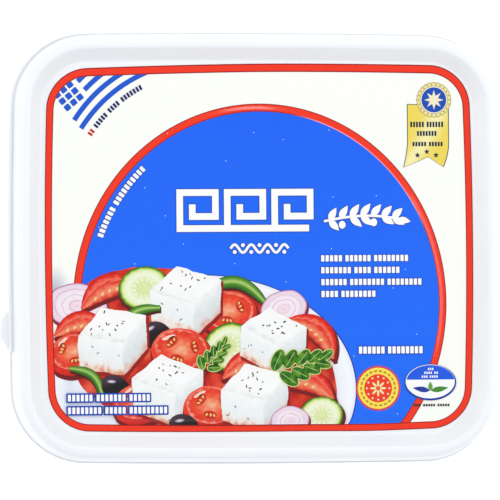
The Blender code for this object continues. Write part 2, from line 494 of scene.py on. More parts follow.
@dataclass(frozen=True)
class MouldedPolypropylene:
    """Injection-moulded white polypropylene.

    The polished mould leaves a satin skin with a faint flow ripple a centimetre or two long
    and a fine grain. A little light goes through the wall, which softens the shading.
    """

    name: str
    colour: str
    cool_colour: str
    roughness: float
    ripple_mm: float = 16.0
    grain_mm: float = 0.45
    cloud_mm: float = 28.0
    glow: float = 0.12
    glow_reach_mm: float = 1.6

    def build(self) -> bpy.types.Material:
        """Make the material: clouded colour, uneven satin, ripple and grain as bump."""
        surface = Surface(self.name)
        wave = surface.noise(self.ripple_mm, 1.0)
        coarse = surface.bump(wave, 0.2, 0.06)
        return surface.finished({
            "Base Color": surface.mix(surface.noise(self.cloud_mm, 3.0), rgba(self.colour),
                                      rgba(self.cool_colour)),
            "Roughness": surface.between(wave, self.roughness - 0.06, self.roughness + 0.08),
            "IOR": POLYPROPYLENE_IOR, "Subsurface Weight": self.glow,
            "Subsurface Scale": self.glow_reach_mm * MM, "Subsurface Radius": (1.0, 0.9, 0.8),
            "Normal": surface.bump(surface.noise(self.grain_mm, 2.0), 0.3, 0.012, coarse)})


@dataclass(frozen=True)
class PrintedFilm:
    """Printed polypropylene film, fused to the lid in the mould.

    Its face is the polished mould's, so it is glossier than the bare plastic, with a faint
    orange peel. The ink comes from the layer's own colour attribute, a little mottled, and
    dust leaves a few pale specks.
    """

    name: str
    roughness: float = 0.2
    mottle_mm: float = 3.2
    mottle: float = 0.05
    peel_mm: float = 2.2
    speck_mm: float = 17.0
    speck_size: float = 0.0
    dust: tuple[float, float, float, float] = (0.5, 0.62, 0.8, 1.0)

    def build(self) -> bpy.types.Material:
        """Make the material: ink colour, mottle, specks, and orange peel as bump."""
        surface = Surface(self.name)
        ink = add_node(surface.tree, "ShaderNodeAttribute", {
            "attribute_name": InkSheet.ATTRIBUTE, "attribute_type": "GEOMETRY"}).outputs["Color"]
        spots = surface.noise(self.mottle_mm, 4.0, 0.65)
        darker = surface.mix(1.0, ink, (1 - self.mottle,) * 3 + (1.0,), "MULTIPLY")
        dots = add_node(surface.tree, "ShaderNodeTexVoronoi", {"voronoi_dimensions": "2D"}, {
            "Vector": surface.place, "Scale": 1 / (self.speck_mm * MM), "Randomness": 1.0})
        speck = add_node(surface.tree, "ShaderNodeMath", {"operation": "LESS_THAN"}, {
            0: dots.outputs["Distance"], 1: self.speck_size})
        return surface.finished({
            "Base Color": surface.mix(speck.outputs["Value"], surface.mix(spots, ink, darker), self.dust),
            "Roughness": surface.between(spots, self.roughness - 0.04, self.roughness + 0.06),
            "IOR": POLYPROPYLENE_IOR, "Specular IOR Level": 0.35,
            "Normal": surface.bump(surface.noise(self.peel_mm, 2.0), 0.3, 0.02)})


@dataclass(frozen=True)
class StudioFloor:
    """Matt white laminate under the part, rolled smooth, with a barely visible tooth."""

    name: str = "matt_white_laminate"
    colour: str = "#FAFAFA"
    tooth_mm: float = 1.5
    glow: float = 0.22

    def build(self) -> bpy.types.Material:
        """Make the material: matt white with a fine bump."""
        surface = Surface(self.name)
        return surface.finished({
            "Base Color": rgba(self.colour), "Roughness": 0.9, "IOR": 1.45,
            "Specular IOR Level": 0.2, "Emission Color": (1.0, 1.0, 1.0, 1.0),
            "Emission Strength": self.glow,
            "Normal": surface.bump(surface.noise(self.tooth_mm, 2.0), 0.1, 0.05)})


# The plastic pieces

@dataclass
class LidForm:
    """The lid's form: its outline, its section and the raised oval field on its panel."""

    half: Array = field(default_factory=lambda: np.array([90.2, 78.5]))
    corner_radius: float = 26.0
    bow: Array = field(default_factory=lambda: np.array([1.25, 0.95]))
    panel_inset: float = 10.5
    crest: float = 85.0
    skirt_depth: float = 12.0
    skirt_lean: float = 1.4
    panel_depth: float = 4.5
    bead_width: float = 5.0
    slope_foot_inset: float = 9.9
    shoulder_radius: float = 3.0
    bead_inner_radius: float = 2.0
    slope_foot_radius: float = 1.3
    wall: float = 1.2
    oval_half: Array = field(default_factory=lambda: np.array([66.3, 70.2]))
    oval_centre: Array = field(default_factory=lambda: np.array([0.0, -20.5]))
    oval_rise: float = 0.7
    oval_ramp: float = 3.0
    oval_cut: float = -61.5
    oval_sharpness: int = 30
    corner_steps: int = 26
    side_steps: int = 84
    arc_steps: int = 8

    def panel_height(self) -> float:
        """Height of the flat panel."""
        return self.crest - self.panel_depth

    def outline(self, inset: float, radius: float) -> Array:
        """The lid's outline moved inwards, with its own corner radius."""
        return round_rectangle(self.half - inset, radius, self.bow, self.corner_steps, self.side_steps)

    def section(self) -> Array:
        """The upper face in section as (inset, height), from the skirt's foot to the panel."""
        return rounded_path([
            (0.0, self.crest - self.skirt_depth, 0.0),
            (self.skirt_lean, self.crest, self.shoulder_radius),
            (self.bead_width, self.crest, self.bead_inner_radius),
            (self.slope_foot_inset, self.panel_height(), self.slope_foot_radius),
            (self.panel_inset, self.panel_height(), 0.0),
        ], self.arc_steps)

    def oval_reach(self, direction: Array, grow: float) -> Array:
        """How far the raised field's edge is from its centre in each direction.

        The field is an oval cut off straight where it nears the panel's near side. A high
        power mean of the two in place of their minimum rounds the corner between them.

        Args:
            direction: unit vectors, one a row.
            grow: how far outside the flat top, up to the ramp's foot.

        Returns:
            One distance for each direction.
        """
        oval = np.linalg.norm(direction / (self.oval_half + grow), axis=1)
        cut_distance = self.oval_cut - grow - self.oval_centre[1]
        cut = np.maximum(direction[:, 1] / cut_distance, 0.0)
        power = self.oval_sharpness
        return (oval ** power + cut ** power) ** (-1 / power)

    def rise(self, places: Array) -> Array:
        """Height above the panel: half a cosine wave over the ramp, and flat inside it.

        Args:
            places: points on the panel.

        Returns:
            One height for each point.
        """
        away = places - self.oval_centre
        distance = np.maximum(np.linalg.norm(away, axis=1), 1e-6)
        direction = away / distance[:, None]
        foot = self.oval_reach(direction, self.oval_ramp)
        edge = self.oval_reach(direction, 0.0)
        share = np.clip((foot - distance) / (foot - edge), 0.0, 1.0)
        return self.oval_rise * (1 - np.cos(math.pi * share)) / 2


def rings_of(form: LidForm, section: Array, radius: Callable[[float], float]) -> Array:
    """Carry a section round the outline.

    Args:
        form: gives the outline.
        section: (inset, height) of each ring.
        radius: the corner radius at an inset.

    Returns:
        (rings, points, 3) places.
    """
    rings = []
    for inset, height in section:
        loop = form.outline(inset, radius(inset))
        rings.append(np.column_stack([loop, np.full(len(loop), height)]))
    return np.array(rings)


@dataclass
class Lid:
    """The press-fit lid: skirt, bead, slope and sunk panel in one closed wall."""

    form: LidForm
    finish: MouldedPolypropylene
    edge_rows: int = 3
    ramp_rows: int = 10
    top_shares: Sequence[float] = (0.97, 0.85, 0.6, 0.3)

    def panel_rings(self, edge: Array) -> Array:
        """Rings from the panel's edge to the oval's centre, along rays to that centre.

        Args:
            edge: the panel's edge as an anticlockwise loop.

        Returns:
            (rings, points, 3) places, following the ramp's height.
        """
        form = self.form
        away = edge - form.oval_centre
        distance = np.linalg.norm(away, axis=1)
        direction = away / distance[:, None]
        foot = form.oval_reach(direction, form.oval_ramp)
        top = form.oval_reach(direction, 0.0)
        outer = distance + np.linspace(0.0, 1.0, self.edge_rows + 1)[1:-1, None] * (foot - distance)
        ramp = foot + np.linspace(0.0, 1.0, self.ramp_rows + 1)[:, None] * (top - foot)
        inner = np.array(self.top_shares)[:, None] * top
        reach = np.vstack([outer, ramp, inner])
        flat_places = form.oval_centre + reach[:, :, None] * direction
        heights = form.panel_height() + form.rise(flat_places.reshape(-1, 2)).reshape(reach.shape)
        return np.concatenate([flat_places, heights[:, :, None]], axis=2)

    def build(self) -> None:
        """Make the lid's closed shell, in place of its solid."""
        form = self.form
        upper = form.section()
        under = moved_sideways(upper, form.wall)
        under[0] = (form.wall, form.crest - form.skirt_depth)
        rim = rings_of(form, np.vstack([under[::-1], upper]), lambda inset: form.corner_radius - inset)
        panel = self.panel_rings(rim[-1][:, :2])
        low = np.array([0.0, 0.0, form.panel_height() - form.wall])
        high = np.array([*form.oval_centre, form.panel_height() + form.oval_rise])
        mesh = closed_loft("lid_shell", np.concatenate([rim, panel]), low, high)
        add_piece(mesh, self.finish.build(), ["lid"])


@dataclass
class Tub:
    """The filled tub: tapering walls, stacking ledge, collar and a rim inside the lid."""

    form: LidForm
    finish: MouldedPolypropylene
    clearance: float = 0.3
    base_inset: float = 15.0
    base_corner_radius: float = 17.0
    base_edge_radius: float = 3.0
    wall_top_inset: float = 7.6
    wall_top_height: float = 63.0
    ledge_width: float = 1.3
    ledge_rise: float = 1.5
    collar_thickness: float = 2.4
    collar_inset: float = -0.55
    collar_radius: float = 0.8
    groove_inset: float = 23.0
    groove_width: float = 3.0
    groove_depth: float = 0.8

    def corner_radius(self, inset: float) -> float:
        """Corner radius at an inset: constant distance at the rim and below, even between."""
        if inset <= self.wall_top_inset:
            return self.form.corner_radius - inset
        if inset > self.base_inset:
            return self.base_corner_radius - (inset - self.base_inset)
        share = (inset - self.wall_top_inset) / (self.base_inset - self.wall_top_inset)
        top = self.form.corner_radius - self.wall_top_inset
        return top + share * (self.base_corner_radius - top)

    def build(self) -> None:
        """Make the tub's closed surface, in place of its solid."""
        form = self.form
        ledge_inset = self.wall_top_inset - self.ledge_width
        collar_top = form.crest - form.skirt_depth - self.clearance
        collar_low = collar_top - self.collar_thickness
        groove_inner = self.groove_inset + self.groove_width
        body = rounded_path([
            (groove_inner, 0.0, 0.0),
            (groove_inner - self.groove_depth, self.groove_depth, 0.0),
            (self.groove_inset + self.groove_depth, self.groove_depth, 0.0),
            (self.groove_inset, 0.0, 0.0),
            (self.base_inset, 0.0, self.base_edge_radius),
            (self.wall_top_inset, self.wall_top_height, 0.0),
            (ledge_inset, self.wall_top_height + self.ledge_rise, 0.0),
            (ledge_inset, collar_low, self.collar_radius),
            (self.collar_inset, collar_low, self.collar_radius),
            (self.collar_inset, collar_top, self.collar_radius),
            (form.wall + self.clearance, collar_top, 0.0),
        ], form.arc_steps)
        rim = moved_sideways(form.section(), form.wall + self.clearance)[1:]
        rings = rings_of(form, np.vstack([body, rim]), self.corner_radius)
        low = np.array([0.0, 0.0, 0.0])
        high = np.array([0.0, 0.0, rim[-1, 1]])
        mesh = closed_loft("tub_shell", rings, low, high)
        add_piece(mesh, self.finish.build(), ["tub"])


@dataclass
class TearStrip:
    """The tear strip: a band outside the skirt, its pull tab, and the thin web that holds it."""

    form: LidForm
    finish: MouldedPolypropylene
    clearance: float = 0.3
    height: float = 3.0
    thickness: float = 1.4
    lift: float = 0.6
    edge_radius: float = 0.35
    end_x: float = -62.3
    tab_far: float = -23.4
    tab_near: float = -37.7
    tab_reach: float = 4.0
    tab_thickness: float = 1.2
    tab_curve: float = 5.6
    tab_slant: float = 5.2
    tab_root_inset: float = 0.3
    tab_steps: int = 12
    tab_profile: Sequence[tuple[float, float]] = ((0.93, -0.5), (1.0, -0.28), (1.0, 0.28), (0.93, 0.5))
    end_share: float = 0.25
    web_height: float = 2.7
    web_overlap: float = 0.05

    def stations(self) -> Array:
        """Places along the outline's points that the strip passes, as fractional numbers."""
        form = self.form
        loop = form.outline(0.0, form.corner_radius)
        index = np.arange(len(loop))
        steps = form.corner_steps + form.side_steps
        far_side = index[steps:form.corner_steps - 1:-1]
        left_side = index[2 * steps:2 * form.corner_steps + form.side_steps - 1:-1]
        first = np.interp(self.end_x, loop[far_side, 0], far_side)
        last = np.interp(self.tab_near, loop[left_side, 1], left_side)
        return np.concatenate([[first], np.arange(math.ceil(first), math.floor(last) + 1), [last]])

    def run(self, inset: float, stations: Array) -> Array:
        """The outline's points at the stations, moved inwards."""
        loop = self.form.outline(inset, self.form.corner_radius - inset)
        index = np.arange(len(loop))
        return np.column_stack([np.interp(stations, index, loop[:, axis]) for axis in range(2)])

    def bar(self, half: Array, middle: float, radius: float) -> Array:
        """A bar along the strip's way, its outer part thinning out evenly round the corner.

        Args:
            half: half its thickness and half its height.
            middle: how far outside the skirt its middle is.
            radius: the radius of its edges.

        Returns:
            Its cross-section at each station, (stations, points, 3).
        """
        form = self.form
        centre_height = form.crest - form.skirt_depth + self.lift + self.height / 2
        lean = form.skirt_lean / form.skirt_depth
        stations = self.stations()
        round_corner = np.clip((stations - stations[0]) / form.corner_steps, 0.0, 1.0)
        share = (self.end_share + (1 - self.end_share) * round_corner)[:, None]
        columns = []
        for out, up in round_rectangle(half, radius, np.zeros(2), 3, 2):
            height = centre_height + up
            skirt = lean * (height - form.crest + form.skirt_depth)
            inner = self.run(skirt - self.clearance, stations)
            place = self.run(skirt - middle - out, stations)
            if middle + out > self.clearance:
                place = inner + (place - inner) * share
            columns.append(np.column_stack([place, np.full(len(stations), height)]))
        return np.stack(columns, axis=1)

    def band_rings(self) -> Array:
        """The strip itself."""
        half = np.array([self.thickness, self.height]) / 2
        return self.bar(half, self.clearance + self.thickness / 2, self.edge_radius)

    def web_rings(self) -> Array:
        """The thin web across the gap to the skirt, a little lower than the strip."""
        reach = self.clearance + 2 * self.web_overlap
        half = np.array([reach, self.web_height]) / 2
        return self.bar(half, self.clearance / 2, self.web_overlap)

    def tab_rings(self) -> Array:
        """The tab's plan outline at four heights, its upper and lower edges drawn in a little."""
        form = self.form
        root = -form.half[0] - self.clearance - self.tab_root_inset
        tip = -form.half[0] - self.tab_reach
        strip = -form.half[0] - self.clearance - self.thickness / 2
        bend = np.linspace(0.0, math.pi / 2, self.tab_steps)
        far = np.column_stack([
            strip + (tip - strip) * np.sin(bend),
            self.tab_far - self.tab_curve * (1 - np.cos(bend))])
        near = np.array([
            [tip, self.tab_near + self.tab_slant], [strip, self.tab_near],
            [root, self.tab_near], [root, self.tab_far]])
        plan = np.vstack([far, near])
        middle = form.crest - form.skirt_depth + self.lift + self.height / 2
        centre = plan.mean(axis=0)
        rings = []
        for share, up in self.tab_profile:
            loop = centre + (plan - centre) * share
            rings.append(np.column_stack([loop, np.full(len(loop), middle + up * self.tab_thickness)]))
        return np.array(rings)

    def build(self) -> None:
        """Make the strip, tab and web, in place of the strip's solid."""
        groups = [self.band_rings(), self.tab_rings(), self.web_rings()]
        points, quads, triangles, count = [], [], [], 0
        for rings in groups:
            rows, columns = rings.shape[:2]
            points.extend([rings.reshape(-1, 3), rings[[0, -1]].mean(axis=1)])
            quads.append(grid_faces(rows, columns, True) + count)
            triangles.append(end_faces(rows, columns) + count)
            count += rows * columns + 2
        mesh = new_mesh("tear_strip_band", np.vstack(points), np.vstack(quads), np.vstack(triangles))
        faces_outwards(mesh)
        add_piece(mesh, self.finish.build(), ["tear_strip"])


# Ink

@dataclass
class Patch:
    """A field of ink: points on the print's plane, faces between them, and their colours."""

    points: Array
    quads: Array
    triangles: Array
    colours: Array
    level: int = 0


NO_TRIANGLES = np.zeros((0, 3), int)
# The greatest side of a face in shaded and in plain fields, and the large fields' layers
CELL = 0.6
PLAIN_CELL = 2.4
GROUND_LEVEL, OVAL_LEVEL, RING_LEVEL, FRAME_LEVEL = 1, 2, 3, 4


def band(right: Array, left: Array, tint: Tint, closed: bool, steps: int = 0) -> Patch:
    """A field between two curves of equal length: each row is a blend of the two.

    Args:
        right: the curve to the right of its direction, or a loop's outer edge.
        left: the curve to the left, or a loop's inner edge.
        tint: colours from the points, the share across (1 right, 0 left) and the share along.
        closed: whether the curves are loops.
        steps: steps from one curve to the other, or 0 to work them out from the width.

    Returns:
        The patch.
    """
    if not steps:
        width = np.linalg.norm(right - left, axis=1).max()
        steps = max(int(math.ceil(width / CELL)), 1)
    share = np.linspace(1.0, 0.0, steps + 1)
    return lattice(left + (right - left) * share[:, None, None], tint, closed)


def lattice(grid: Array, tint: Tint, closed: bool = False) -> Patch:
    """A field over a grid of points.

    Args:
        grid: (rows, columns, 2) places, the first row to the right of the columns' direction.
        tint: colours from the points, the share across (1 at the first row) and along.
        closed: whether the last column meets the first.

    Returns:
        The patch.
    """
    rows, columns = grid.shape[:2]
    points = grid.reshape(-1, 2)
    across = np.repeat(np.linspace(1.0, 0.0, rows), columns)
    along = np.tile(np.linspace(0.0, 1.0, columns), rows)
    return Patch(points, grid_faces(rows, columns, closed), NO_TRIANGLES, tint(points, across, along))


def fan(loop: Array, tint: Tint, cell: float = CELL) -> Patch:
    """A filled loop: copies of it drawn in towards its middle, closed by triangles there.

    Args:
        loop: an anticlockwise loop that its middle sees all of.
        tint: colours from the points, the share of the way out (1 at the loop) and along.
        cell: the greatest distance between the copies.

    Returns:
        The patch.
    """
    centre = loop.mean(axis=0)
    reach = np.linalg.norm(loop - centre, axis=1).max()
    share = np.linspace(1.0, 0.0, max(int(math.ceil(reach / cell)), 1) + 1)[:-1]
    grid = centre + (loop - centre) * share[:, None, None]
    rows, columns = grid.shape[:2]
    points = np.vstack([grid.reshape(-1, 2), centre])
    triangles = tip_faces((rows - 1) * columns + np.arange(columns), rows * columns)
    across = np.append(np.repeat(share, columns), 0.0)
    along = np.append(np.tile(np.linspace(0.0, 1.0, columns, endpoint=False), rows), 0.0)
    return Patch(points, grid_faces(rows, columns, True), triangles, tint(points, across, along))


def ribbon(path: Array, width: float | Array, tint: Tint, steps: int = 0) -> Patch:
    """A stroke along a path, with mitred corners.

    Args:
        path: the points of an open path.
        width: the stroke's width, for the whole path or for each point.
        tint: colours, with the share across from 0 at the left edge to 1 at the right.
        steps: steps across.

    Returns:
        The patch.
    """
    half = np.asarray(width, float) / 2
    return band(moved_sideways(path, half), moved_sideways(path, -half), tint, False, steps)


@dataclass
class PrintGround:
    """Where the print lies on the panel: its place, its frame line and its ring."""

    form: LidForm
    shift: Array = field(default_factory=lambda: np.array([0.66, 0.0]))
    turn: float = math.radians(0.28)
    frame_half: Array = field(default_factory=lambda: np.array([77.85, 65.95]))
    frame_radius: float = 13.4
    frame_bow: Array = field(default_factory=lambda: np.array([1.37, 1.0]))
    frame_width: float = 2.62
    frame_steps: tuple[int, int] = (24, 90)
    far_sag: float = 0.1
    far_slant: float = 0.007
    far_slant_round: float = 10.0
    far_widening: float = 0.17
    near_sag: float = 0.35
    near_sag_middle: float = 42.0
    near_sag_reach: float = 18.0
    ring_centre: Array = field(default_factory=lambda: np.array([0.0, -20.5]))
    ring_half: Array = field(default_factory=lambda: np.array([69.05, 73.2]))
    ring_width: float = 2.95
    keyline: float = 0.34
    ray_count: int = 720
    ink_step: float = 0.016
    film: float = 0.03
    sunk: float = 0.02

    def frame_loop(self, grow: float) -> Array:
        """The frame line's middle, moved outwards.

        The printed film has crept a little in the mould: the line's far side slants down
        towards the left and is a little wider, and its near side sags right of the middle.
        """
        half = self.frame_half
        loop = round_rectangle(half + grow, self.frame_radius + grow, self.frame_bow, *self.frame_steps)
        across, up = loop.T
        far, near = np.clip(up / half[1], 0.0, 1.0), np.clip(-up / half[1], 0.0, 1.0)
        leftwards = np.sqrt(across ** 2 + self.far_slant_round ** 2) - across
        slant = self.far_sag + self.far_slant * leftwards - self.far_widening * grow
        sag = self.near_sag * np.exp(-((across - self.near_sag_middle) / self.near_sag_reach) ** 2)
        return np.column_stack([across, up - far * slant - near * sag])

    def kept_inside(self, points: Array) -> Array:
        """Draw points beyond the frame line's inner edge in towards the middle, onto that edge."""
        loop = self.frame_loop(-self.frame_width / 2)
        reach = np.interp(np.arctan2(points[:, 1], points[:, 0]), np.arctan2(loop[:, 1], loop[:, 0]),
                          np.linalg.norm(loop, axis=1), period=TURN)
        distance = np.maximum(np.linalg.norm(points, axis=1), 1e-9)
        return points * np.minimum(1.0, reach / distance)[:, None]

    def rays(self) -> tuple[Array, Array]:
        """Unit vectors from the ring's centre, and how far the frame line's middle is along each."""
        angle = full_turn(self.ray_count)
        away = self.frame_loop(0.0) - self.ring_centre
        reach = np.interp(angle, np.arctan2(away[:, 1], away[:, 0]) % TURN,
                          np.linalg.norm(away, axis=1), period=TURN)
        return units(angle), reach

    def ring_edge(self, inwards: float) -> Array:
        """How far the ring's outer edge, moved inwards, is along the rays, up to the frame line."""
        direction, limit = self.rays()
        oval = 1 / np.linalg.norm(direction / (self.ring_half - inwards), axis=1)
        return np.minimum(oval, limit)

    def places(self, points: Array) -> Array:
        """Turn and shift points of the print's plane onto the lid."""
        return points @ turned(self.turn) + self.shift

    def on_lid(self, points: Array, level: Array) -> Array:
        """Lay the print's points on the panel: turned, shifted, and one ink step up for each level.

        Args:
            points: places in the print's plane.
            level: the layer number of each point.

        Returns:
            (points, 3) places on the lid.
        """
        places = self.places(points)
        height = self.form.panel_height() + self.form.rise(places) + self.film + level * self.ink_step
        return np.column_stack([places, height])


class InkSheet:
    """Thin closed plates of ink, each one step above whatever lies under it."""

    ATTRIBUTE = "ink"
    RAMP_CELL = 0.5
    RAMP_STEPS = 6
    RAMP_TOLERANCE = 1e-4
    LEAST_AREA = 1e-4
    MAP_CELL = 1.5
    MAP_HALF = 64

    def __init__(self, ground: PrintGround) -> None:
        """Start with bare plastic everywhere."""
        self.ground = ground
        self.heights = np.zeros((2 * self.MAP_HALF, 2 * self.MAP_HALF), int)
        self.pieces: dict[str, list[Patch]] = {}

    def touched(self, patches: Sequence[Patch]) -> tuple[Array, Array]:
        """The height map's cells under and beside some patches."""
        spots = []
        for patch in patches:
            spots.append(patch.points)
            for corner in (patch.points[patch.quads], patch.points[patch.triangles]):
                spots.append((corner + np.roll(corner, -1, axis=1)).reshape(-1, 2) / 2)
        around = np.stack(np.meshgrid([-1, 0, 1], [-1, 0, 1]), axis=-1).reshape(1, 9, 2)
        cells = np.unique(np.floor(np.vstack(spots) / self.MAP_CELL).astype(int), axis=0)
        cells = np.unique((cells[:, None] + around).reshape(-1, 2), axis=0)
        return tuple(np.clip(cells + self.MAP_HALF, 0, 2 * self.MAP_HALF - 1).T)

    def lay(self, piece: str, patches: Sequence[Patch], spread: int = 1) -> None:
        """Add patches to a piece, above the highest ink that any of them touches.

        Args:
            piece: name of the piece.
            patches: the patches. Those with no level yet are kept inside the frame line.
            spread: how many levels they take turns on, so that neighbours may overlap.
        """
        fitted = [patch if patch.level else self.clipped(patch) for patch in patches]
        place = self.touched(fitted)
        base = int(self.heights[place].max()) + 1
        for number, patch in enumerate(fitted):
            if not patch.level:
                patch.level = base + number % spread
                self.pieces.setdefault(piece, []).extend(self.parts(patch))
            else:
                self.pieces.setdefault(piece, []).append(patch)
        self.heights[place] = np.maximum(self.heights[place], max(patch.level for patch in fitted))

    def clipped(self, patch: Patch) -> Patch:
        """The patch with its points beyond the frame line's inner edge drawn in onto that edge."""
        return replace(patch, points=self.ground.kept_inside(patch.points))

    def parts(self, patch: Patch) -> list[Patch]:
        """Split a patch into the faces off the ramp and, more finely divided, those on it."""
        steep_quads = self.steep(patch.points[patch.quads])
        steep_triangles = self.steep(patch.points[patch.triangles])
        parts = []
        if not (steep_quads.all() and steep_triangles.all()):
            parts.append(replace(patch, quads=patch.quads[~steep_quads],
                                 triangles=patch.triangles[~steep_triangles]))
        if steep_quads.any() or steep_triangles.any():
            parts.append(self.refined(replace(patch, quads=patch.quads[steep_quads],
                                              triangles=patch.triangles[steep_triangles])))
        return parts

    def steep(self, corner: Array) -> Array:
        """Which faces lie on the ramp with a corner, with a side's middle or with their own middle.

        Args:
            corner: (faces, corners, 2) places.

        Returns:
            One truth value for each face.
        """
        middles = (corner + np.roll(corner, -1, axis=1)) / 2
        spots = np.concatenate([corner, middles, corner.mean(axis=1, keepdims=True)], axis=1)
        form = self.ground.form
        rise = form.rise(self.ground.places(spots.reshape(-1, 2))).reshape(spots.shape[:2])
        low, high = self.RAMP_TOLERANCE, form.oval_rise - self.RAMP_TOLERANCE
        return ((rise > low) & (rise < high)).any(axis=1)

    def refined(self, patch: Patch) -> Patch:
        """Divide every face so finely that it follows the ramp.

        A face becomes a grid of equal quads. A triangle counts as a quad whose third and fourth
        points are the same, and the grid's cells at that point become triangles again.

        Args:
            patch: quads of any size, and triangles whose third point is a fan's middle.

        Returns:
            The patch with shared points made one again.
        """
        faces = np.vstack([patch.quads, patch.triangles[:, [0, 1, 2, 2]]])
        sides = patch.points[np.roll(faces, -1, axis=1)] - patch.points[faces]
        longest = np.linalg.norm(sides, axis=2).max()
        steps = int(min(math.ceil(longest / self.RAMP_CELL), self.RAMP_STEPS))
        values = np.hstack([patch.points, patch.colours])
        share = np.linspace(0.0, 1.0, steps + 1)
        first, second, third, fourth = (values[faces[:, corner], None] for corner in range(4))
        low = first * (1 - share[:, None]) + second * share[:, None]
        high = fourth * (1 - share[:, None]) + third * share[:, None]
        grid = low[:, None] * (1 - share[:, None, None]) + high[:, None] * share[:, None, None]
        cell = grid_faces(steps + 1, steps + 1, False)
        quads = (np.arange(len(grid))[:, None, None] * (steps + 1) ** 2 + cell).reshape(-1, 4)
        values = grid.reshape(-1, 5)
        _, kept, merged = np.unique(np.round(values[:, :2], 5), axis=0, return_index=True,
                                    return_inverse=True)
        quads = merged.ravel()[quads]
        pinched = quads[:, 2] == quads[:, 3]
        return Patch(values[kept, :2], quads[~pinched], quads[pinched, :3], values[kept, 2:], patch.level)

    @staticmethod
    def sound(points: Array, faces: Array) -> Array:
        """The faces that have an area and run anticlockwise."""
        corner = points[faces]
        nxt = np.roll(corner, -1, axis=1)
        area = (corner[..., 0] * nxt[..., 1] - corner[..., 1] * nxt[..., 0]).sum(axis=1) / 2
        return faces[area > InkSheet.LEAST_AREA]

    def plate(self, patch: Patch) -> tuple[Array, Array, Array, Array]:
        """Close a patch: its face on top, the same face turned over below, and walls between.

        Args:
            patch: the field of ink.

        Returns:
            Points, quads, triangles and colours.
        """
        quads = self.sound(patch.points, patch.quads)
        triangles = self.sound(patch.points, patch.triangles)
        used, renumbered = np.unique(np.concatenate([quads.ravel(), triangles.ravel()]), return_inverse=True)
        quads = renumbered[:quads.size].reshape(-1, 4)
        triangles = renumbered[quads.size:].reshape(-1, 3)
        count = len(used)
        ones = np.ones(count)
        top = self.ground.on_lid(patch.points[used], ones * patch.level)
        depth = self.ground.film + patch.level * self.ground.ink_step + self.ground.sunk
        bottom = top - [0.0, 0.0, depth]
        edges = np.vstack([
            np.stack([quads, np.roll(quads, -1, axis=1)], axis=-1).reshape(-1, 2),
            np.stack([triangles, np.roll(triangles, -1, axis=1)], axis=-1).reshape(-1, 2)])
        there, back = edges[:, 0] * count + edges[:, 1], edges[:, 1] * count + edges[:, 0]
        rim = edges[~np.isin(there, back)]
        walls = np.column_stack([rim[:, 0] + count, rim[:, 1] + count, rim[:, 1], rim[:, 0]])
        all_quads = np.vstack([quads, quads[:, ::-1] + count, walls])
        all_triangles = np.vstack([triangles, triangles[:, ::-1] + count])
        return np.vstack([top, bottom]), all_quads, all_triangles, np.tile(patch.colours[used], (2, 1))

    def build(self, finishes: dict[str, PrintedFilm]) -> None:
        """Make one mesh for each piece, with the ink as a colour attribute.

        Args:
            finishes: the film's finish for each piece.
        """
        for name, patches in self.pieces.items():
            parts = [self.plate(patch) for patch in patches]
            starts = np.cumsum([0] + [len(part[0]) for part in parts])
            quads = np.vstack([part[1] + start for part, start in zip(parts, starts)])
            triangles = np.vstack([part[2] + start for part, start in zip(parts, starts)])
            mesh = new_mesh(name, np.vstack([part[0] for part in parts]), quads, triangles)
            colours = np.vstack([part[3] for part in parts])
            layer = mesh.attributes.new(self.ATTRIBUTE, "FLOAT_COLOR", "POINT")
            layer.data.foreach_set("color", np.column_stack([colours, np.ones(len(colours))]).ravel())
            add_piece(mesh, finishes[name].build())


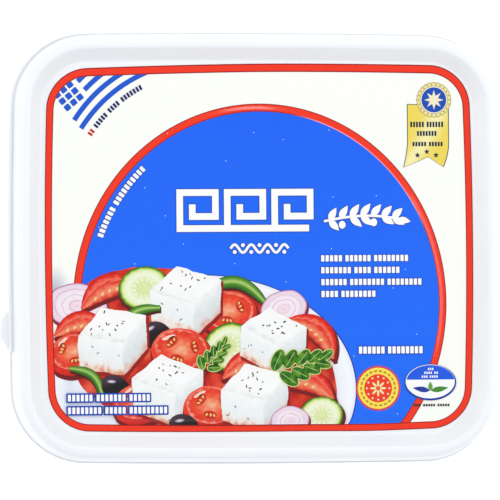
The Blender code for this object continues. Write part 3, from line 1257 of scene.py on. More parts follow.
@dataclass
class Fields:
    """The print's large fields: pale ground, blue oval, red ring and red frame line."""

    sheet: InkSheet
    near_edge: Sequence[float] = (0.0, 0.3, 0.6, 0.9, 1.2, 1.5, 1.8, 2.1, 2.5, 3.0, 4.0, 7.0, 12.0, 20.0,
                                  40.0, 70.0)
    inside_edge: Sequence[float] = (0.0, 0.3, 0.6, 0.9, 1.2, 1.5, 1.8, 2.1, 2.4, 2.7, 3.0, 3.3, 3.7, 4.3,
                                    5.5, 9.0)
    core_shares: Sequence[float] = (0.75, 0.5, 0.25)
    overlap: float = 0.3
    ring_rows: int = 9
    frame_rows: int = 8

    def polar(self, reach: Array, tint: Tint, closed_centre: bool, level: int) -> Patch:
        """A patch of rings along the rays from the ring's centre.

        Args:
            reach: (rings, rays) distances, from the outermost ring inwards.
            tint: the colours.
            closed_centre: whether it goes on to the centre.
            level: its layer number.

        Returns:
            The patch.
        """
        ground = self.sheet.ground
        direction, _ = ground.rays()
        grid = ground.ring_centre + direction * reach[:, :, None]
        rows, columns = reach.shape
        points = grid.reshape(-1, 2)
        triangles = NO_TRIANGLES
        if closed_centre:
            triangles = tip_faces((rows - 1) * columns + np.arange(columns), rows * columns)
            points = np.vstack([points, ground.ring_centre])
        share = np.zeros(len(points))
        return Patch(points, grid_faces(rows, columns, True), triangles, tint(points, share, share), level)

    def lay(self) -> None:
        """Lay the fields, the dark keylines along the red lines, and a painted highlight on the ring's inner
        keyline.
        """
        ground, sheet = self.sheet.ground, self.sheet
        width, key = ground.ring_width, ground.keyline
        _, limit = ground.rays()
        start = ground.ring_edge(width / 2)
        out = np.minimum(start + np.array(self.near_edge)[::-1, None], limit)
        out = np.vstack([limit, out])
        sheet.lay("print_ground", [self.polar(out, flat(Ink.CREAM.light()), False, GROUND_LEVEL)])

        inwards = ground.ring_edge(width - self.overlap) - np.array(self.inside_edge)[:, None]
        core = inwards[-1] * np.array(self.core_shares)[:, None]

        def blue(points: Array, across: Array, along: Array) -> Array:
            """Blue, a touch lighter towards the near side."""
            light = np.clip((60.0 - points[:, 1]) / 120.0, 0.0, 1.0)
            return blend(printed("#246BF9"), printed("#2D73FB"), light)

        sheet.lay("print_oval", [self.polar(np.vstack([inwards, core]), blue, True, OVAL_LEVEL)])
        red, shade = flat(Ink.RED.light()), flat(Ink.RED_SHADE.light())
        ring = np.array([ground.ring_edge(depth) for depth in np.linspace(key, width - key, self.ring_rows)])
        sheet.lay("print_oval", [self.polar(ring, red, False, RING_LEVEL)])

        def keyline_with_painted_highlight(points: Array, across: Array, along: Array) -> Array:
            """Dark red, with a painted highlight in pale pink along the upper right of the ring's inner edge.
            """
            away = points - ground.ring_centre
            angle = np.degrees(np.arctan2(away[:, 1], away[:, 0]))
            # Painted highlight: pale pink over the inner keyline between these angles
            middle, half_width, fade = 52.0, 28.0, 8.0
            pale = np.clip((half_width - np.abs(angle - middle)) / fade, 0.0, 1.0)
            return blend(Ink.RED_SHADE.light(), printed("#F2A6C4"), pale)

        # The inner keyline carries the painted highlight
        for depth, tint in ((0.0, shade), (width - key, keyline_with_painted_highlight)):
            line = np.array([ground.ring_edge(depth), ground.ring_edge(depth + key)])
            sheet.lay("print_oval", [self.polar(line, tint, False, RING_LEVEL)])
        half = ground.frame_width / 2
        grow = np.linspace(half - key, key - half, self.frame_rows)
        lines = [(outer, inner, red) for outer, inner in zip(grow, grow[1:])]
        for outer, inner, tint in lines + [(half, half - key, shade), (key - half, -half, shade)]:
            line = band(ground.frame_loop(outer), ground.frame_loop(inner), tint, True, 1)
            line.level = FRAME_LEVEL
            sheet.lay("print_frame", [line])


Shape = Callable[[float, Tint], Patch]


@dataclass
class Ornaments:
    """Plain ornaments in the places of the pack's words, seals and corner mark."""

    sheet: InkSheet
    piece: str = "print_ornaments"
    edge_ink: str = "#2150B4"

    def fill(self, loop: Array, code: str) -> None:
        """Lay a filled loop in one colour."""
        self.sheet.lay(self.piece, [fan(loop, solid(code), PLAIN_CELL)])

    def plain(self, shapes: Iterable[Shape], code: str) -> None:
        """Lay shapes that don't overlap in one colour."""
        self.sheet.lay(self.piece, [shape(0.0, solid(code)) for shape in shapes])

    def outlined(self, groups: Iterable[Sequence[Shape]], edge: float) -> None:
        """Lay groups of shapes in white over the same shapes grown by an edge in dark blue.

        Args:
            groups: each makes its patches from how far to grow them and their tint. Later
                groups lie over earlier ones, and in a group only neighbours overlap.
            edge: width of the edge.
        """
        groups = list(groups)
        for grow, colour in ((edge, printed(self.edge_ink)), (0.0, Ink.WHITE.light())):
            for group in groups:
                self.sheet.lay(self.piece, [shape(grow, flat(colour)) for shape in group], 2)

    @staticmethod
    def stroke(path: Array, width: float | Array) -> Shape:
        """A stroke that can be grown on all sides."""
        def grown(grow: float, tint: Tint) -> Patch:
            ends = path.copy()
            for tip, neighbour in ((0, 1), (-1, -2)):
                way = path[tip] - path[neighbour]
                ends[tip] = path[tip] + way / np.linalg.norm(way) * grow
            return ribbon(ends, width + 2 * grow, tint)
        return grown

    @staticmethod
    def tile(centre: Array, half: Sequence[float], angle: float) -> Shape:
        """A round-cornered tile that can be grown on all sides."""
        def grown(grow: float, tint: Tint) -> Patch:
            size = np.asarray(half) + grow
            loop = round_rectangle(size, 0.3 * float(size.min()), np.zeros(2), 2, 2)
            return fan(centre + loop @ turned(angle), tint, PLAIN_CELL)
        return grown

    def tiles(self, path: Array, counts: Sequence[int], half: Sequence[float],
              gap: float) -> list[list[Shape]]:
        """Groups of upright tiles along a path, in the place of words.

        Args:
            path: the middle line of the tiles, straight on where it ends.
            counts: the number of tiles in each group.
            half: half a tile's width and height.
            gap: the space between tiles. Between groups it is three times as wide.

        Returns:
            The tiles of each group.
        """
        legs = np.diff(path, axis=0)
        reach = np.concatenate([[0.0], np.cumsum(np.linalg.norm(legs, axis=1))])
        angles = np.arctan2(legs[:, 1], legs[:, 0])
        place, groups = half[0], []
        for count in counts:
            group = []
            for _ in range(count):
                leg = min(int(np.searchsorted(reach, place, side="right")), len(legs)) - 1
                centre = path[leg] + unit(angles[leg]) * (place - reach[leg])
                group.append(self.tile(centre, half, float(angles[leg])))
                place += 2 * half[0] + gap
            groups.append(group)
            place += 2 * gap
        return groups

    def row(self, left: float, middle: float, counts: Sequence[int], half: Sequence[float],
            gap: float) -> list[Shape]:
        """Tiles along a level line that starts at the left."""
        path = np.array([[left, middle], [left + 1.0, middle]])
        return [tile for group in self.tiles(path, counts, half, gap) for tile in group]

    def corner_stripes(self) -> None:
        """Curved blue stripes across the far left corner, a block of tiles, and a curved row of tiles."""
        start, end = np.array([-65.6, 43.8]), np.array([-39.5, 65.0])
        bulge, stripe_pitch, stripe_width, tile_pitch, words_below = 2.7, 3.9, 1.85, 2.95, 4.1
        chord = (end - start) / np.linalg.norm(end - start)
        normal = np.array([-chord[1], chord[0]])
        share = np.linspace(0.0, 1.0, 72)[:, None]
        arc = start + (end - start) * share + normal * bulge * 4 * share * (1 - share)
        blue = "#2460D2"
        self.plain([self.stroke(arc[first:] + normal * stripe_pitch * number, stripe_width)
                    for number, first in enumerate((0, 0, 21, 21, 20))], blue)
        block = start + normal * 12.0 + chord * 4.0
        angle = math.atan2(chord[1], chord[0])
        across, up = chord * tile_pitch, normal * tile_pitch
        self.plain([self.tile(block + across * column + up * row, (1.12, 1.12), angle)
                    for row in (-1, 0, 1) for column in (-1, 0, 1)], blue)
        words = self.tiles(arc[2:] - normal * words_below, (2, 5, 4, 7), (0.42, 0.95), 0.48)
        self.plain(words[0], "#C8322C")
        for word in words[1:]:
            self.plain(word, "#26356E")

    def rosette(self) -> None:
        """A gold ribbon with a swallow tail below a scalloped rosette with a star."""
        depth = np.linspace(0.0, 1.0, 34)
        flare = np.clip((depth - 0.6) / 0.4, 0, 1)
        left_side = np.column_stack([55.2 - 1.5 * flare ** 1.5, 52.2 - 22.8 * depth])
        right_side = np.column_stack([70.2 - 2.0 * flare ** 2, 51.6 - 22.1 * depth])
        share = np.linspace(0.0, 1.0, 28)[:, None]
        tail = 3.7 * np.minimum(share / 0.62, (1 - share) / 0.38) ** 1.1
        grid = left_side + (right_side - left_side) * share[:, :, None]
        grid[..., 1] += tail * depth ** 6

        def cloth(points: Array, across: Array, along: Array) -> Array:
            """Gold with a pale fold that leans across."""
            fold = np.exp(-((0.15 + 0.75 * along - across) / 0.24) ** 2)
            return blend(Ink.GOLD.light(), Ink.GOLD_PALE.light(), fold)

        centre = grid.reshape(-1, 2).mean(axis=0)
        edge = centre + (grid - centre) * [1.04, 1.022]
        self.sheet.lay(self.piece, [lattice(edge, solid("#4B4F55"))])
        self.sheet.lay(self.piece, [lattice(grid, cloth)])
        ink = "#2B3550"
        for left, middle, counts, height in ((56.1, 44.9, (5, 6), 1.0), (58.6, 41.6, (7,), 0.9),
                                             (56.9, 37.7, (5, 5), 0.8)):
            self.plain(self.row(left, middle, counts, (0.36, height), 0.36), ink)
        for centre_x, centre_y in ((58.7, 33.6), (62.2, 34.9), (65.6, 33.6)):
            self.fill(self.star((centre_x, centre_y), 1.05, 5), ink)
        middle = np.array([64.95, 53.9])
        way, scallops = full_turn(144), 24
        for radius, code, wave in ((6.45, "#B29A45", 0.12), (6.2, "#F3E9A4", 0.1), (5.15, "#8C7424", 0.0),
                                   (5.0, "#F7F3D8", 0.0), (4.6, "#2C55B8", 0.0)):
            self.fill(middle + units(way) * (radius + wave * np.cos(scallops * way))[:, None], code)
        beads = [middle + 5.65 * unit(angle) for angle in full_turn(22)]
        self.plain([self.tile(bead, (0.22, 0.22), 0.0) for bead in beads], "#9A8330")
        self.fill(self.star(middle, 3.6, 8), "#F6F0CC")

    @staticmethod
    def star(centre: Sequence[float], radius: float, arms: int) -> Array:
        """A star as a loop: its distance from the centre goes in and out at every half arm."""
        way = math.pi / 2 + np.arange(2 * arms) * math.pi / arms
        reach = np.where(np.arange(2 * arms) % 2 == 0, radius, radius * 0.45)
        return np.asarray(centre) + units(way) * reach[:, None]

    def key_frieze(self) -> None:
        """A frieze in key pattern: square hooks along a base line, all one stroke wide."""
        pitch, stroke, left, low = 4.38, 2.45, -29.6, 7.1
        hook = np.array([[0, 0], [0, 3], [3, 3], [3, 1], [1.05, 1], [1.05, 2.02]], float)
        base = np.array([[-stroke / 2, 0.0], [10.9 * pitch, 0.0]])
        hooks = [self.stroke(hook * pitch + [left + 4 * pitch * number, low], stroke) for number in range(3)]
        self.outlined([[self.stroke(base + [left, low], stroke)], hooks], 0.32)

    def sprig(self) -> None:
        """A white olive sprig: a curved stem with pairs of pointed leaves and round fruit."""
        share = np.linspace(0.0, 1.0, 40)
        left, length, middle, bow = 23.6, 28.3, 9.3, 2.2
        stem = np.column_stack([left + length * share, middle + bow * np.sin(2.6 * share + 0.1)])
        leaves, fruit = [], []
        for number, place in enumerate(np.linspace(0.07, 0.9, 7)):
            foot = np.array([np.interp(place, share, stem[:, axis]) for axis in range(2)])
            for side in (1, -1):
                if number % 3 == 1 and side < 0:
                    fruit.append(self.spot(foot + [0.9, -2.4], (1.25, 1.45)))
                else:
                    angle = side * (0.95 - 0.35 * place) + 0.12
                    leaves.append(self.leaf(foot, 5.8 - 1.5 * abs(place - 0.45), 2.5, angle))
        leaves.append(self.leaf(stem[-1] - [0.8, 0.0], 4.8, 2.3, -0.2))
        self.outlined([leaves, fruit, [self.stroke(stem, 0.9)]], 0.28)

    @staticmethod
    def spot(centre: Array, half: Sequence[float]) -> Shape:
        """An oval spot that can be grown on all sides."""
        return lambda grow, tint: fan(ellipse(centre, np.asarray(half) + grow, 0.0, 20), tint, PLAIN_CELL)

    @staticmethod
    def leaf(foot: Array, length: float, width: float, angle: float) -> Shape:
        """A pointed leaf: a straight stroke whose width follows a leaning sine wave."""
        def grown(grow: float, tint: Tint) -> Patch:
            share = np.linspace(0.0, 1.0, 18)
            heading = unit(angle)
            path = np.asarray(foot) + heading * (-grow + (length + 2 * grow) * share)[:, None]
            return ribbon(path, (width + 2 * grow) * (np.sin(math.pi * share ** 0.8) + 0.04), tint)
        return grown

    def scroll(self) -> None:
        """A running wave with a dot in each bend, between the frieze and the picture."""
        share = np.linspace(0.0, 1.0, 110)
        left, length, middle, bends = -11.0, 21.4, -0.3, 7
        wave = np.column_stack([left + length * share, middle + 1.45 * np.sin(TURN * bends / 2 * share)])
        places = [(left + length * (number + 0.5) / bends, middle - 1.25 * (-1) ** number)
                  for number in range(bends)]
        dots = [self.spot(np.array(place), (0.72, 0.72)) for place in places]
        self.outlined([[self.stroke(wave, 0.95)], dots], 0.2)

    def rows_of_tiles(self) -> None:
        """Rows of small tiles where the pack has lines of words."""
        for middle, counts in ((-4.05, (5, 6, 8)), (-8.4, (7, 4, 6)), (-12.75, (6, 8, 8)), (-17.1, (4, 8))):
            self.outlined([self.row(22.5, middle, counts, (0.6, 1.15), 0.43)], 0.24)
        self.outlined([self.row(36.2, -37.75, (6, 8), (0.62, 1.3), 0.42)], 0.24)
        for middle, counts in ((-54.4, (6, 7, 5)), (-59.0, (8, 5, 9))):
            self.outlined([self.row(-71.2, middle, counts, (0.54, 1.2), 0.5)], 0.55)
        self.plain(self.row(56.6, -58.1, (3, 5, 5), (0.3, 0.42), 0.34), "#3C3A3A")
        ground = self.sheet.ground
        half = ground.ring_half - ground.ring_width - 2.7
        angle = np.radians(np.linspace(158.5, 127.0, 60))
        curve = ground.ring_centre + half * units(angle)
        self.outlined(self.tiles(curve, (7, 10), (0.62, 1.1), 0.5), 0.22)

    def seal(self) -> None:
        """A yellow seal with a red zigzag rim and a red flower."""
        centre = np.array([43.25, -51.75])
        way, teeth, petals = full_turn(180), 45, 8
        zigzag = np.abs((way * teeth / TURN) % 1.0 - 0.5) * 2
        for reach, wave, code in ((7.75, 0.8 * zigzag, "#EE4636"), (7.55, 0.0, "#FBE45F"),
                                  (5.15, 0.0, "#F0492F"), (2.0, np.cos(petals * way), "#FCE9B0"),
                                  (0.85, 0.0, "#E8662E")):
            self.fill(centre + units(way) * np.broadcast_to(reach + wave, len(way))[:, None], code)
        for count, reach, half, code in ((22, 6.3, (0.55, 0.3), "#C09028"), (12, 4.2, (0.3, 0.3), "#FFF6E6")):
            angles = full_turn(count)
            self.plain([self.tile(centre + reach * unit(angle), half,
                                  angle + math.pi / 2) for angle in angles], code)

    def badge(self) -> None:
        """A white oval badge with a blue rim and upper field, and a green leaf."""
        centre, half = np.array([62.8, -49.75]), np.array([9.65, 6.65])
        self.fill(ellipse(centre, half, 0.0, 90), "#24479F")
        self.fill(ellipse(centre + [-0.1, 0.32], half - 0.45, 0.0, 90), "#FEFFFE")
        edge_angle, count = 0.12, 40
        way = np.linspace(edge_angle, math.pi - edge_angle, count)
        inner = half - 0.62
        upper = centre + np.column_stack([inner[0] * np.cos(way), 0.3 + inner[1] * np.sin(way)])
        lower = np.column_stack([upper[:, 0], np.full(count, upper[0, 1])])
        self.sheet.lay(self.piece, [band(upper, lower, solid("#2E62E2"), False)])
        for left, height, counts in ((-1.0, 4.9, (3,)), (-2.4, 3.5, (4, 2)), (-3.3, 2.1, (3, 4))):
            self.plain(self.row(centre[0] + left, centre[1] + height, counts, (0.26, 0.42), 0.3), "#FFFFFF")
        foot = centre + [0.0, -3.0]
        self.plain([self.leaf(foot + [0.3, 0.0], 6.4, 1.9, 0.16)], "#4E8F3E")
        self.plain([self.leaf(foot - [0.3, 0.0], 6.4, 1.9, math.pi - 0.16)], "#24479F")
        self.plain([self.leaf(foot, 3.2, 1.6, math.pi / 2)], "#6BA84A")

    def build(self) -> None:
        """Lay all the ornaments."""
        for step in (self.corner_stripes, self.rosette, self.key_frieze, self.sprig, self.scroll, self.seal,
                     self.badge, self.rows_of_tiles):
            step()


# The picture

class Food(Enum):
    """What the plate in the picture holds."""

    CHEESE = "cheese block"
    TOMATO = "tomato half"
    WEDGE = "tomato wedge"
    CUCUMBER = "cucumber slice"
    ONION = "onion ring"
    OLIVE = "black olive"
    PEPPER = "pepper strip"
    LEAF = "herb leaf"


@dataclass
class Serving:
    """One thing on the plate: what it is, where, how large and how turned."""

    food: Food
    x: float
    y: float
    size: float
    turn: float

    def pose(self) -> tuple[Array, float]:
        """Its middle, and its turn in radians."""
        return np.array([self.x, self.y]), math.radians(self.turn)

    def arch(self, rise: float, share: Array) -> Array:
        """A path along it that bends up by a share of its size, at shares of the way."""
        centre, tilt = self.pose()
        up = self.size * rise * np.sin(math.pi * share)
        return centre + np.column_stack([(share - 0.5) * 2 * self.size, up]) @ turned(tilt)


@dataclass
class Picture:
    """A plate of cheese and raw vegetables, drawn in layered fields of colour."""

    sheet: InkSheet
    servings: Sequence[Serving]
    plate_centre: Array = field(default_factory=lambda: np.array([-22.0, -52.0]))
    plate_half: Array = field(default_factory=lambda: np.array([57.0, 42.0]))
    piece: str = "print_plate"
    seed: float = 0.0

    def lay(self, *patches: Patch, spread: int = 1) -> None:
        """Lay patches that don't overlap, or where only neighbours do on a spread of levels."""
        self.sheet.lay(self.piece, patches, spread)

    def wobbled(self, loop: Array, amount: float, length: float) -> Array:
        """A loop with an uneven edge: its points move away from its middle by smooth noise."""
        centre = loop.mean(axis=0)
        away = loop - centre
        return centre + away * (1 + amount * ripple(loop, length, self.seed))[:, None]

    def shadow(self, loop: Array, code: str, dx: float, dy: float, grow: float) -> None:
        """A dark field under something, moved and grown."""
        centre = loop.mean(axis=0)
        self.lay(fan(centre + (loop - centre) * grow + [dx, dy], solid(code), PLAIN_CELL))

    def plate(self) -> None:
        """The white plate, its shadow on the pale ground, and the red juice under the heap."""
        gloom = ellipse((-75.5, -16.0), (5.8, 10.0), 0.0, 60)
        self.lay(fan(gloom, graded([(0.0, "#B4B8C4"), (0.45, "#D6D9E0"), (1.0, Ink.CREAM.value)])))
        rim = ellipse(self.plate_centre, self.plate_half, 0.0, 240)
        edge = self.plate_centre + (rim - self.plate_centre) * 1.008
        self.lay(band(edge, rim, solid("#1F45A8"), True))
        well = ellipse(self.plate_centre, self.plate_half * 0.8, 0.0, 240)
        table = [(0.0, "#EEF2FC"), (0.3, "#E4EAF8"), (0.5, "#F2F6FD"), (0.85, "#FBFDFF"), (1.0, "#E8EEFC")]
        self.lay(band(rim, well, graded(table), True, 12), fan(well, solid("#EEF2FC"), PLAIN_CELL))
        juice = mottled([(0.0, "#A82418"), (0.5, "#D83A26"), (1.0, "#F06A4E")], 0.75, 9.0, 3.1)
        for centre, half, tilt in (((-25.0, -41.0), (52.0, 31.0), -0.35),
                                   ((-6.0, -50.0), (34.0, 26.0), -0.1)):
            self.lay(fan(self.wobbled(ellipse(centre, half, tilt, 150), 0.03, 14.0), juice, 1.6))

    def cheese(self, item: Serving) -> None:
        """A block of white cheese seen three-quarter on: top, left and right face."""
        size = item.size
        centre, tilt = item.pose()
        right = size * 0.62 * unit(tilt - 0.42)
        back = size * 0.5 * unit(tilt + 0.62)
        down = size * 0.44 * np.array([math.sin(tilt) * 0.25, -1.0])
        near = centre - (right + back + down) / 2
        share = np.linspace(0.0, 1.0, 26)[:, None]
        seed = item.x * 0.13 + item.y * 0.07

        def crumbly(table: Stops, amount: float) -> Tint:
            """A face's colours from its upper edge to its lower one, broken up by noise."""
            def tint(points: Array, across: Array, along: Array) -> Array:
                """The table's colours, moved by coarse and by fine noise."""
                coarse, fine = ripple(points, 4.4, seed), ripple(points, 1.5, seed + 2)
                return stops(across + amount * coarse + 0.5 * amount * fine, table)
            return tint

        def crumbled(patch: Patch) -> Patch:
            """The patch with its points moved by smooth noise, so that straight edges wander."""
            for amount, length in ((0.5, 9.0), (0.14, 2.0)):
                moves = [ripple(patch.points, length, seed + turn) for turn in (0.0, 3.0)]
                patch.points = patch.points + amount * np.column_stack(moves)
            return patch

        top_front = near + right * share
        top_back = top_front + back
        front_low = near + down + right * share * 0.98
        side_top = near + right + back * share
        side_low = near + right * 0.98 + down + back * share * 0.97
        outline = np.vstack([front_low, side_low, side_top[-1:], top_back[::-1], near + down * share])
        self.shadow(outline, "#A02A1E", 0.5, -1.0, 1.03)
        front = crumbly([(0.0, "#FDFEFC"), (0.15, "#F6FAF9"), (0.6, "#F0F6F5"), (0.82, "#F4EBE4"),
                         (0.95, "#F0C4AE"), (1.0, "#E29A80")], 0.2)
        side = crumbly([(0.0, "#F6F9F7"), (0.3, "#E9EFEF"), (0.75, "#DFE4E4"), (1.0, "#E2B29C")], 0.18)
        top = crumbly([(0.0, "#FBFCF8"), (0.5, "#FFFFFF"), (0.9, "#FAFBF8"), (1.0, "#EDEFEE")], 0.2)
        faces = ((front_low, top_front, front), (side_low, side_top, side), (top_front, top_back, top))
        self.lay(*[crumbled(band(low, high, tint, False, 18)) for low, high, tint in faces])
        speck = np.random.default_rng(int(abs(item.x * 31 + item.y * 17)))
        herbs = []
        for edge, code in ((back, "#4C6B34"), (back, "#3F5A2C"), (back, "#7A5A40"), (down, "#A99F94")):
            shares = speck.random((int(size * 0.17), 2))
            places = near + (right + edge) * 0.1 + shares @ [right * 0.8, edge * 0.8]
            herbs += [fan(ellipse(place, (0.3 + 0.45 * speck.random(), 0.16 + 0.16 * speck.random()),
                                  TURN * speck.random(), 10), solid(code)) for place in places]
        self.lay(*herbs, spread=2)

    def tomato(self, item: Serving) -> None:
        """A cut tomato: skin, rim, core and three seed pockets."""
        half = np.array([item.size, item.size * 0.8])
        centre, tilt = item.pose()
        loop = self.wobbled(ellipse(centre, half, tilt, 64), 0.03, 8.0)
        self.shadow(loop, "#7C1A14", 0.5, -1.3, 1.06)

        def skin(points: Array, across: Array, along: Array) -> Array:
            """Dark below, bright along the upper left."""
            light = 0.5 + ((points - centre) @ np.array([-0.35, 0.75])) / (2.2 * item.size)
            return stops(light + 0.1 * ripple(points, 4.0, 1.3), [
                (0.0, "#A81C14"), (0.35, "#DC3222"), (0.7, "#F04A32"), (1.0, "#F98068")])

        self.lay(fan(loop, skin, 1.2))
        face = ellipse(centre + [0.0, item.size * 0.1], half * [0.88, 0.8], tilt, 60)
        flesh = graded([(0.0, "#F8B896"), (0.28, "#F58A66"), (0.6, "#F0573E"), (0.9, "#E43A27"),
                        (1.0, "#F59A84")], 0.16, 3.0, 4.4)
        self.lay(fan(self.wobbled(face, 0.03, 5.0), flesh))
        pockets, seeds = [], []
        for number in range(3):
            way = tilt + TURN * number / 3 + 0.4
            middle = centre + [0.0, item.size * 0.1] + half * [0.47, 0.42] * unit(way)
            pocket = ellipse(middle, (item.size * 0.25, item.size * 0.15), way + math.pi / 2, 26)
            pockets.append(fan(pocket, graded([(0.0, "#D8501E"), (0.7, "#B92C14"), (1.0, "#E2583A")])))
            heading = unit(way + math.pi / 2)
            seeds += [fan(ellipse(middle + heading * step * item.size * 0.24, (0.62, 0.36), way + step, 12),
                          solid("#F5C97C")) for step in (-0.5, 0.1, 0.6)]
        shine = ellipse(centre + half * [-0.42, 0.62], (item.size * 0.24, item.size * 0.06), tilt + 0.5, 20)
        self.lay(*pockets, fan(shine, solid("#FFD9CC")))
        self.lay(*seeds)

    def wedge(self, item: Serving) -> None:
        """A tomato wedge: a crescent of skin with a paler cut face."""
        _, tilt = item.pose()
        share = np.linspace(0.0, 1.0, 36)
        path = item.arch(0.4, share)
        width = item.size * 0.78 * np.sin(math.pi * np.clip(share, 0.02, 0.98)) ** 0.7
        loop = np.vstack([moved_sideways(path, width / 2), moved_sideways(path, -width / 2)[::-1]])
        self.shadow(loop, "#7C1A14", 0.6, -1.2, 1.07)
        self.lay(ribbon(path, width, graded([
            (0.0, "#C22418"), (0.16, "#EC3A26"), (0.3, "#FA806A"), (0.4, "#DC3222"), (0.48, "#EE5E46"),
            (0.7, "#F59A78"), (0.85, "#EE6A4C"), (1.0, "#C4301F")], 0.1, 3.0, 2.2)))
        inner = path[8:28] + (moved_sideways(path, width * 0.22) - path)[8:28]
        self.lay(*[fan(ellipse(place, (0.75, 0.42), tilt + 0.8, 12), solid("#F7D28C"))
                   for place in inner[::5]])

    def cucumber(self, item: Serving) -> None:
        """A cucumber slice: rind, pale flesh, wet core with a ring of seeds."""
        half = np.array([item.size, item.size * 0.84])
        centre, tilt = item.pose()
        loop = ellipse(centre, half, tilt, 64)
        self.shadow(loop, "#6A2A1A", 0.5, -1.2, 1.06)
        self.lay(fan(self.wobbled(loop, 0.02, 4.0), graded([
            (0.0, "#E4EEB4"), (0.3, "#DDEAA8"), (0.5, "#EAF3C8"), (0.62, "#F6FAE2"), (0.84, "#E6F2B4"),
            (0.89, "#B9D850"), (0.94, "#5F9430"), (1.0, "#2C5F22")], 0.03, 2.5, 1.0)))
        ways = TURN * np.arange(12) / 12 + item.turn
        places = centre + (half * 0.4 * units(ways)) @ turned(tilt)
        self.lay(*[fan(ellipse(place, (0.95, 0.38), way + tilt, 12), solid("#F6F8DC"))
                   for place, way in zip(places, ways)])

    def onion(self, item: Serving) -> None:
        """A red onion slice: pale layers between thin purple lines."""
        centre, tilt = item.pose()
        outer = self.wobbled(ellipse(centre, (item.size, item.size * 0.76), tilt, 72), 0.04, 9.0)
        self.shadow(outer, "#7C3A4A", 0.4, -1.0, 1.04)

        def layers(points: Array, across: Array, along: Array) -> Array:
            """White and lilac, with a purple line at each layer's edge and at the rim."""
            place = across + 0.02 * ripple(points, 5.0, 0.7)
            edges = np.maximum(np.cos(TURN * 4 * place), 0.0) ** 8 * 0.5
            line = edges + np.clip((place - 0.94) / 0.06, 0, 1)
            pale = stops(place, [(0.0, "#F6D9E6"), (0.5, "#FBF1F7"), (1.0, "#EBD3E6")])
            return blend(pale, printed("#B2568E"), line)

        self.lay(fan(outer, layers, 0.4))

    def olive(self, item: Serving) -> None:
        """A black olive with a soft highlight."""
        centre, tilt = item.pose()
        half = np.array([item.size, item.size * 0.76])
        loop = ellipse(centre, half, tilt, 44)
        self.shadow(loop, "#3A0E0C", 0.4, -0.9, 1.08)
        self.lay(fan(loop, lambda points, across, along: stops(
            0.5 + ((points - centre) @ np.array([-0.3, 0.8])) / (2 * item.size), [
                (0.0, "#1A1216"), (0.5, "#2B1D26"), (0.8, "#51404E"), (1.0, "#3A2C36")])))
        spot = centre + half * [-0.25, 0.4]
        self.lay(fan(ellipse(spot, half * [0.34, 0.16], tilt + 0.3, 18),
                     graded([(0.0, "#EDE8F2"), (1.0, "#85788C")])))

    def pepper(self, item: Serving) -> None:
        """A curved strip of pepper with a bright back."""
        share = np.linspace(0.0, 1.0, 30)
        path = item.arch(0.45, share)
        width = item.size * 0.42 * np.sin(math.pi * np.clip(share, 0.06, 0.94)) ** 0.35
        self.lay(ribbon(path + [0.4, -0.7], width * 1.15, solid("#5A1410")))
        self.lay(ribbon(path, width, graded([
            (0.0, "#2F6A22"), (0.3, "#6FA83C"), (0.45, "#C9E08C"), (0.6, "#5D9A32"), (1.0, "#28561E")])))

    def herb(self, item: Serving) -> None:
        """A sprig of small oval leaves with pale edges."""
        foot, tilt = item.pose()
        green = mottled([(0.0, "#23521F"), (0.5, "#3E7A2C"), (1.0, "#74A93E")], 0.6, 4.0, 1.7)
        edges, blades, veins = [], [], []
        for number in range(9):
            share = (number + 0.5) / 9
            angle = tilt + (0.95 - 0.6 * share) * (-1) ** number
            length = item.size * (0.36 - 0.12 * share)
            way = unit(angle)
            centre = foot + unit(tilt) * item.size * share + way * length * 0.7
            half = np.array([length * 0.62, length * 0.36])
            edges.append(fan(ellipse(centre, half, angle, 24), solid("#D3DF8A")))
            blades.append(fan(ellipse(centre, half - 0.32, angle, 24), green))
            veins.append(ribbon(centre + way * np.linspace(-0.8, 0.7, 5)[:, None] * half[0], 0.22,
                                solid("#B9D27A"), 1))
        for group in (edges, blades, veins):
            self.lay(*group, spread=2)

    def build(self) -> None:
        """Lay the plate and then the servings from the back to the front."""
        draw = {Food.CHEESE: self.cheese, Food.TOMATO: self.tomato, Food.WEDGE: self.wedge,
                Food.CUCUMBER: self.cucumber, Food.ONION: self.onion, Food.OLIVE: self.olive,
                Food.PEPPER: self.pepper, Food.LEAF: self.herb}
        self.plate()
        for number, item in enumerate(self.servings):
            third = 3 * number // len(self.servings)
            self.piece = "print_servings_" + ("far", "middle", "near")[third]
            self.seed = item.x * 0.37 + item.y * 0.11
            draw[item.food](item)


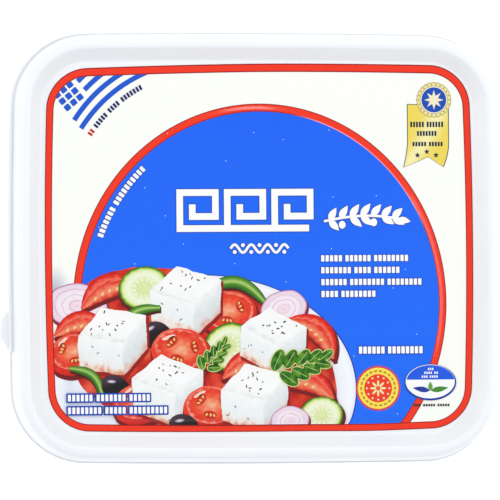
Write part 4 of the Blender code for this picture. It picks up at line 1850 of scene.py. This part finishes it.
SALAD = (
    Serving(Food.ONION, -67.5, -21.0, 11.0, -8), Serving(Food.WEDGE, -55.0, -18.0, 11.5, 20),
    Serving(Food.CUCUMBER, -43.0, -14.5, 9.4, 10), Serving(Food.PEPPER, -9.5, -17.5, 11.0, -12),
    Serving(Food.TOMATO, -12.0, -24.0, 10.4, 0), Serving(Food.ONION, 8.5, -22.5, 8.8, 20),
    Serving(Food.CHEESE, -27.5, -19.5, 27.0, 6), Serving(Food.WEDGE, -66.0, -30.5, 10.0, 8),
    Serving(Food.TOMATO, -69.0, -38.5, 9.4, 15), Serving(Food.WEDGE, 18.5, -33.5, 11.0, -42),
    Serving(Food.PEPPER, -44.5, -27.0, 9.0, 35), Serving(Food.CUCUMBER, -12.0, -36.0, 9.8, 30),
    Serving(Food.OLIVE, -39.5, -31.0, 5.6, 10), Serving(Food.CHEESE, -54.5, -34.0, 27.0, 14),
    Serving(Food.TOMATO, -29.5, -38.0, 11.0, -10), Serving(Food.WEDGE, -4.0, -45.5, 10.5, 12),
    Serving(Food.CHEESE, 4.5, -34.5, 25.0, -4), Serving(Food.PEPPER, -64.5, -49.0, 8.0, -42),
    Serving(Food.OLIVE, -54.0, -50.0, 5.0, -20), Serving(Food.TOMATO, -45.5, -57.0, 9.4, 10),
    Serving(Food.CHEESE, -34.5, -52.0, 27.0, 4), Serving(Food.TOMATO, -18.5, -58.5, 10.4, 0),
    Serving(Food.WEDGE, 15.5, -52.5, 11.5, -15), Serving(Food.CHEESE, -2.5, -55.0, 26.0, 10),
    Serving(Food.OLIVE, -29.0, -64.5, 5.2, -10), Serving(Food.CUCUMBER, 22.0, -61.5, 8.2, 5),
    Serving(Food.ONION, 10.5, -63.5, 7.2, 0), Serving(Food.LEAF, 3.0, -46.0, 20.0, 14),
    Serving(Food.LEAF, -22.0, -45.5, 13.0, 50),
)


# The studio

@dataclass
class SoftBox:
    """A rectangular lamp that faces a point above the floor's middle."""

    name: str
    azimuth: float
    tilt: float
    distance: float
    size: tuple[float, float]
    watts: float
    tone: str = "#FFFFFF"
    aim: tuple[float, float, float] = (0.0, 0.0, 0.06)

    def build(self) -> None:
        """Hang the lamp: its azimuth runs from +X towards +Y, its tilt from straight above."""
        lamp = bpy.data.lights.new(self.name, "AREA")
        lamp.shape = "RECTANGLE"
        lamp.size, lamp.size_y = self.size
        lamp.energy = self.watts
        lamp.color = rgba(self.tone)[:3]
        holder = new_object(self.name, lamp)
        azimuth, tilt = math.radians(self.azimuth), math.radians(self.tilt)
        outwards = Vector((math.sin(tilt) * math.cos(azimuth), math.sin(tilt) * math.sin(azimuth),
                           math.cos(tilt)))
        holder.location = Vector(self.aim) + outwards * self.distance
        holder.rotation_euler = outwards.to_track_quat("Z", "Y").to_euler()


@dataclass
class Studio:
    """Floor, lamps, sky and camera."""

    sky: float = 0.88
    sky_colour: tuple[float, float, float, float] = (0.965, 0.975, 1.0, 1.0)
    floor_half: float = 1.6
    distance: float = 2.5
    sensor_mm: float = 36.0
    lean_left: float = 8.5
    lean_front: float = 0.85
    roll: float = -0.165
    pixels_per_mm: float = 2.74
    target_pixel: tuple[float, float] = (260.0, 247.5)
    target: tuple[float, float, float] = (0.0, 0.0, 0.085)

    def floor(self) -> None:
        """A plain square under the part."""
        half = self.floor_half
        mesh = bpy.data.meshes.new("studio_floor")
        mesh.from_pydata([(-half, -half, 0), (half, -half, 0), (half, half, 0), (-half, half, 0)], [],
                         [(0, 1, 2, 3)])
        mesh.materials.append(StudioFloor().build())
        slab = new_object("studio_floor", mesh)

    def world(self) -> None:
        """An even white sky."""
        world = bpy.data.worlds.new("studio_sky")
        world.use_nodes = True
        world.node_tree.nodes.clear()
        sky = add_node(world.node_tree, "ShaderNodeBackground",
                       inputs={"Color": self.sky_colour, "Strength": self.sky})
        add_node(world.node_tree, "ShaderNodeOutputWorld", inputs={"Surface": sky.outputs["Background"]})
        bpy.context.scene.world = world

    def camera(self) -> None:
        """The photo's camera: nearly straight above, a little to the left, from far away."""
        left, front, roll = (math.radians(angle) for angle in (self.lean_left, self.lean_front, self.roll))
        level = math.cos(front)
        back = Vector((-math.sin(left) * level, -math.sin(front), math.cos(left) * level))
        right = Vector((math.cos(left), 0.0, math.sin(left)))
        up = back.cross(right)
        across = right * math.cos(roll) + up * math.sin(roll)
        upwards = up * math.cos(roll) - right * math.sin(roll)
        span = IMAGE_SIDE / self.pixels_per_mm * MM
        lens = bpy.data.cameras.new("photo_camera")
        lens.sensor_width = self.sensor_mm
        lens.lens = self.sensor_mm * self.distance / span
        lens.clip_start, lens.clip_end = 0.1, 20.0
        step = MM / self.pixels_per_mm
        centre = IMAGE_SIDE / 2
        shift = across * (centre - self.target_pixel[0]) * step
        shift = shift + upwards * (self.target_pixel[1] - centre) * step
        holder = new_object("photo_camera", lens)
        axes = Matrix((across, upwards, back)).transposed().to_4x4()
        holder.matrix_world = Matrix.Translation(Vector(self.target) + back * self.distance + shift) @ axes
        bpy.context.scene.camera = holder

    def build(self) -> None:
        """Set up the floor, the sky, the lamps and the camera."""
        self.floor()
        self.world()
        for lamp in (
                SoftBox("key", 81.0, 46.0, 1.15, (0.2, 0.3), 1.7, "#FFFDFA"),
                SoftBox("fill_left", 167.0, 56.0, 1.2, (0.6, 0.6), 3.4),
                SoftBox("fill_right", 7.0, 56.0, 1.2, (0.6, 0.6), 3.5),
                SoftBox("fill_near", 268.0, 50.0, 1.3, (0.5, 0.5), 1.0)):
            lamp.build()
        self.camera()
        bpy.context.scene.view_settings.view_transform = "Standard"


def main() -> None:
    """Build the pieces in order: plastic, print, studio."""
    logging.basicConfig(level=logging.INFO, format="%(name)s: %(message)s")
    form = LidForm()
    Tub(form, MouldedPolypropylene("polypropylene_tub", "#D2D6DB", "#CCD2D9", 0.38)).build()
    Lid(form, MouldedPolypropylene("polypropylene_lid", "#E3E5E6", "#E1E4E7", 0.36)).build()
    TearStrip(form, MouldedPolypropylene("polypropylene_strip", "#E3E6E8", "#E0E4E8", 0.36)).build()
    ground = PrintGround(form)
    sheet = InkSheet(ground)
    Fields(sheet).lay()
    Picture(sheet, SALAD).build()
    Ornaments(sheet).build()
    film = PrintedFilm("printed_film")
    sheet.build({
        "print_ground": PrintedFilm("printed_film_pale", 0.24, mottle=0.02),
        "print_oval": PrintedFilm("printed_film_blue", 0.12, speck_size=0.011),
        "print_frame": PrintedFilm("printed_film_red", 0.22),
        "print_plate": film,
        "print_servings_far": film,
        "print_servings_middle": film,
        "print_servings_near": film,
        "print_ornaments": PrintedFilm("printed_film_white", 0.22, mottle=0.03),
    })
    Studio().build()
    levels = [patch.level for patches in sheet.pieces.values() for patch in patches]
    LOG.info("highest ink layer: %d", max(levels))


if __name__ == "__main__":
    main()
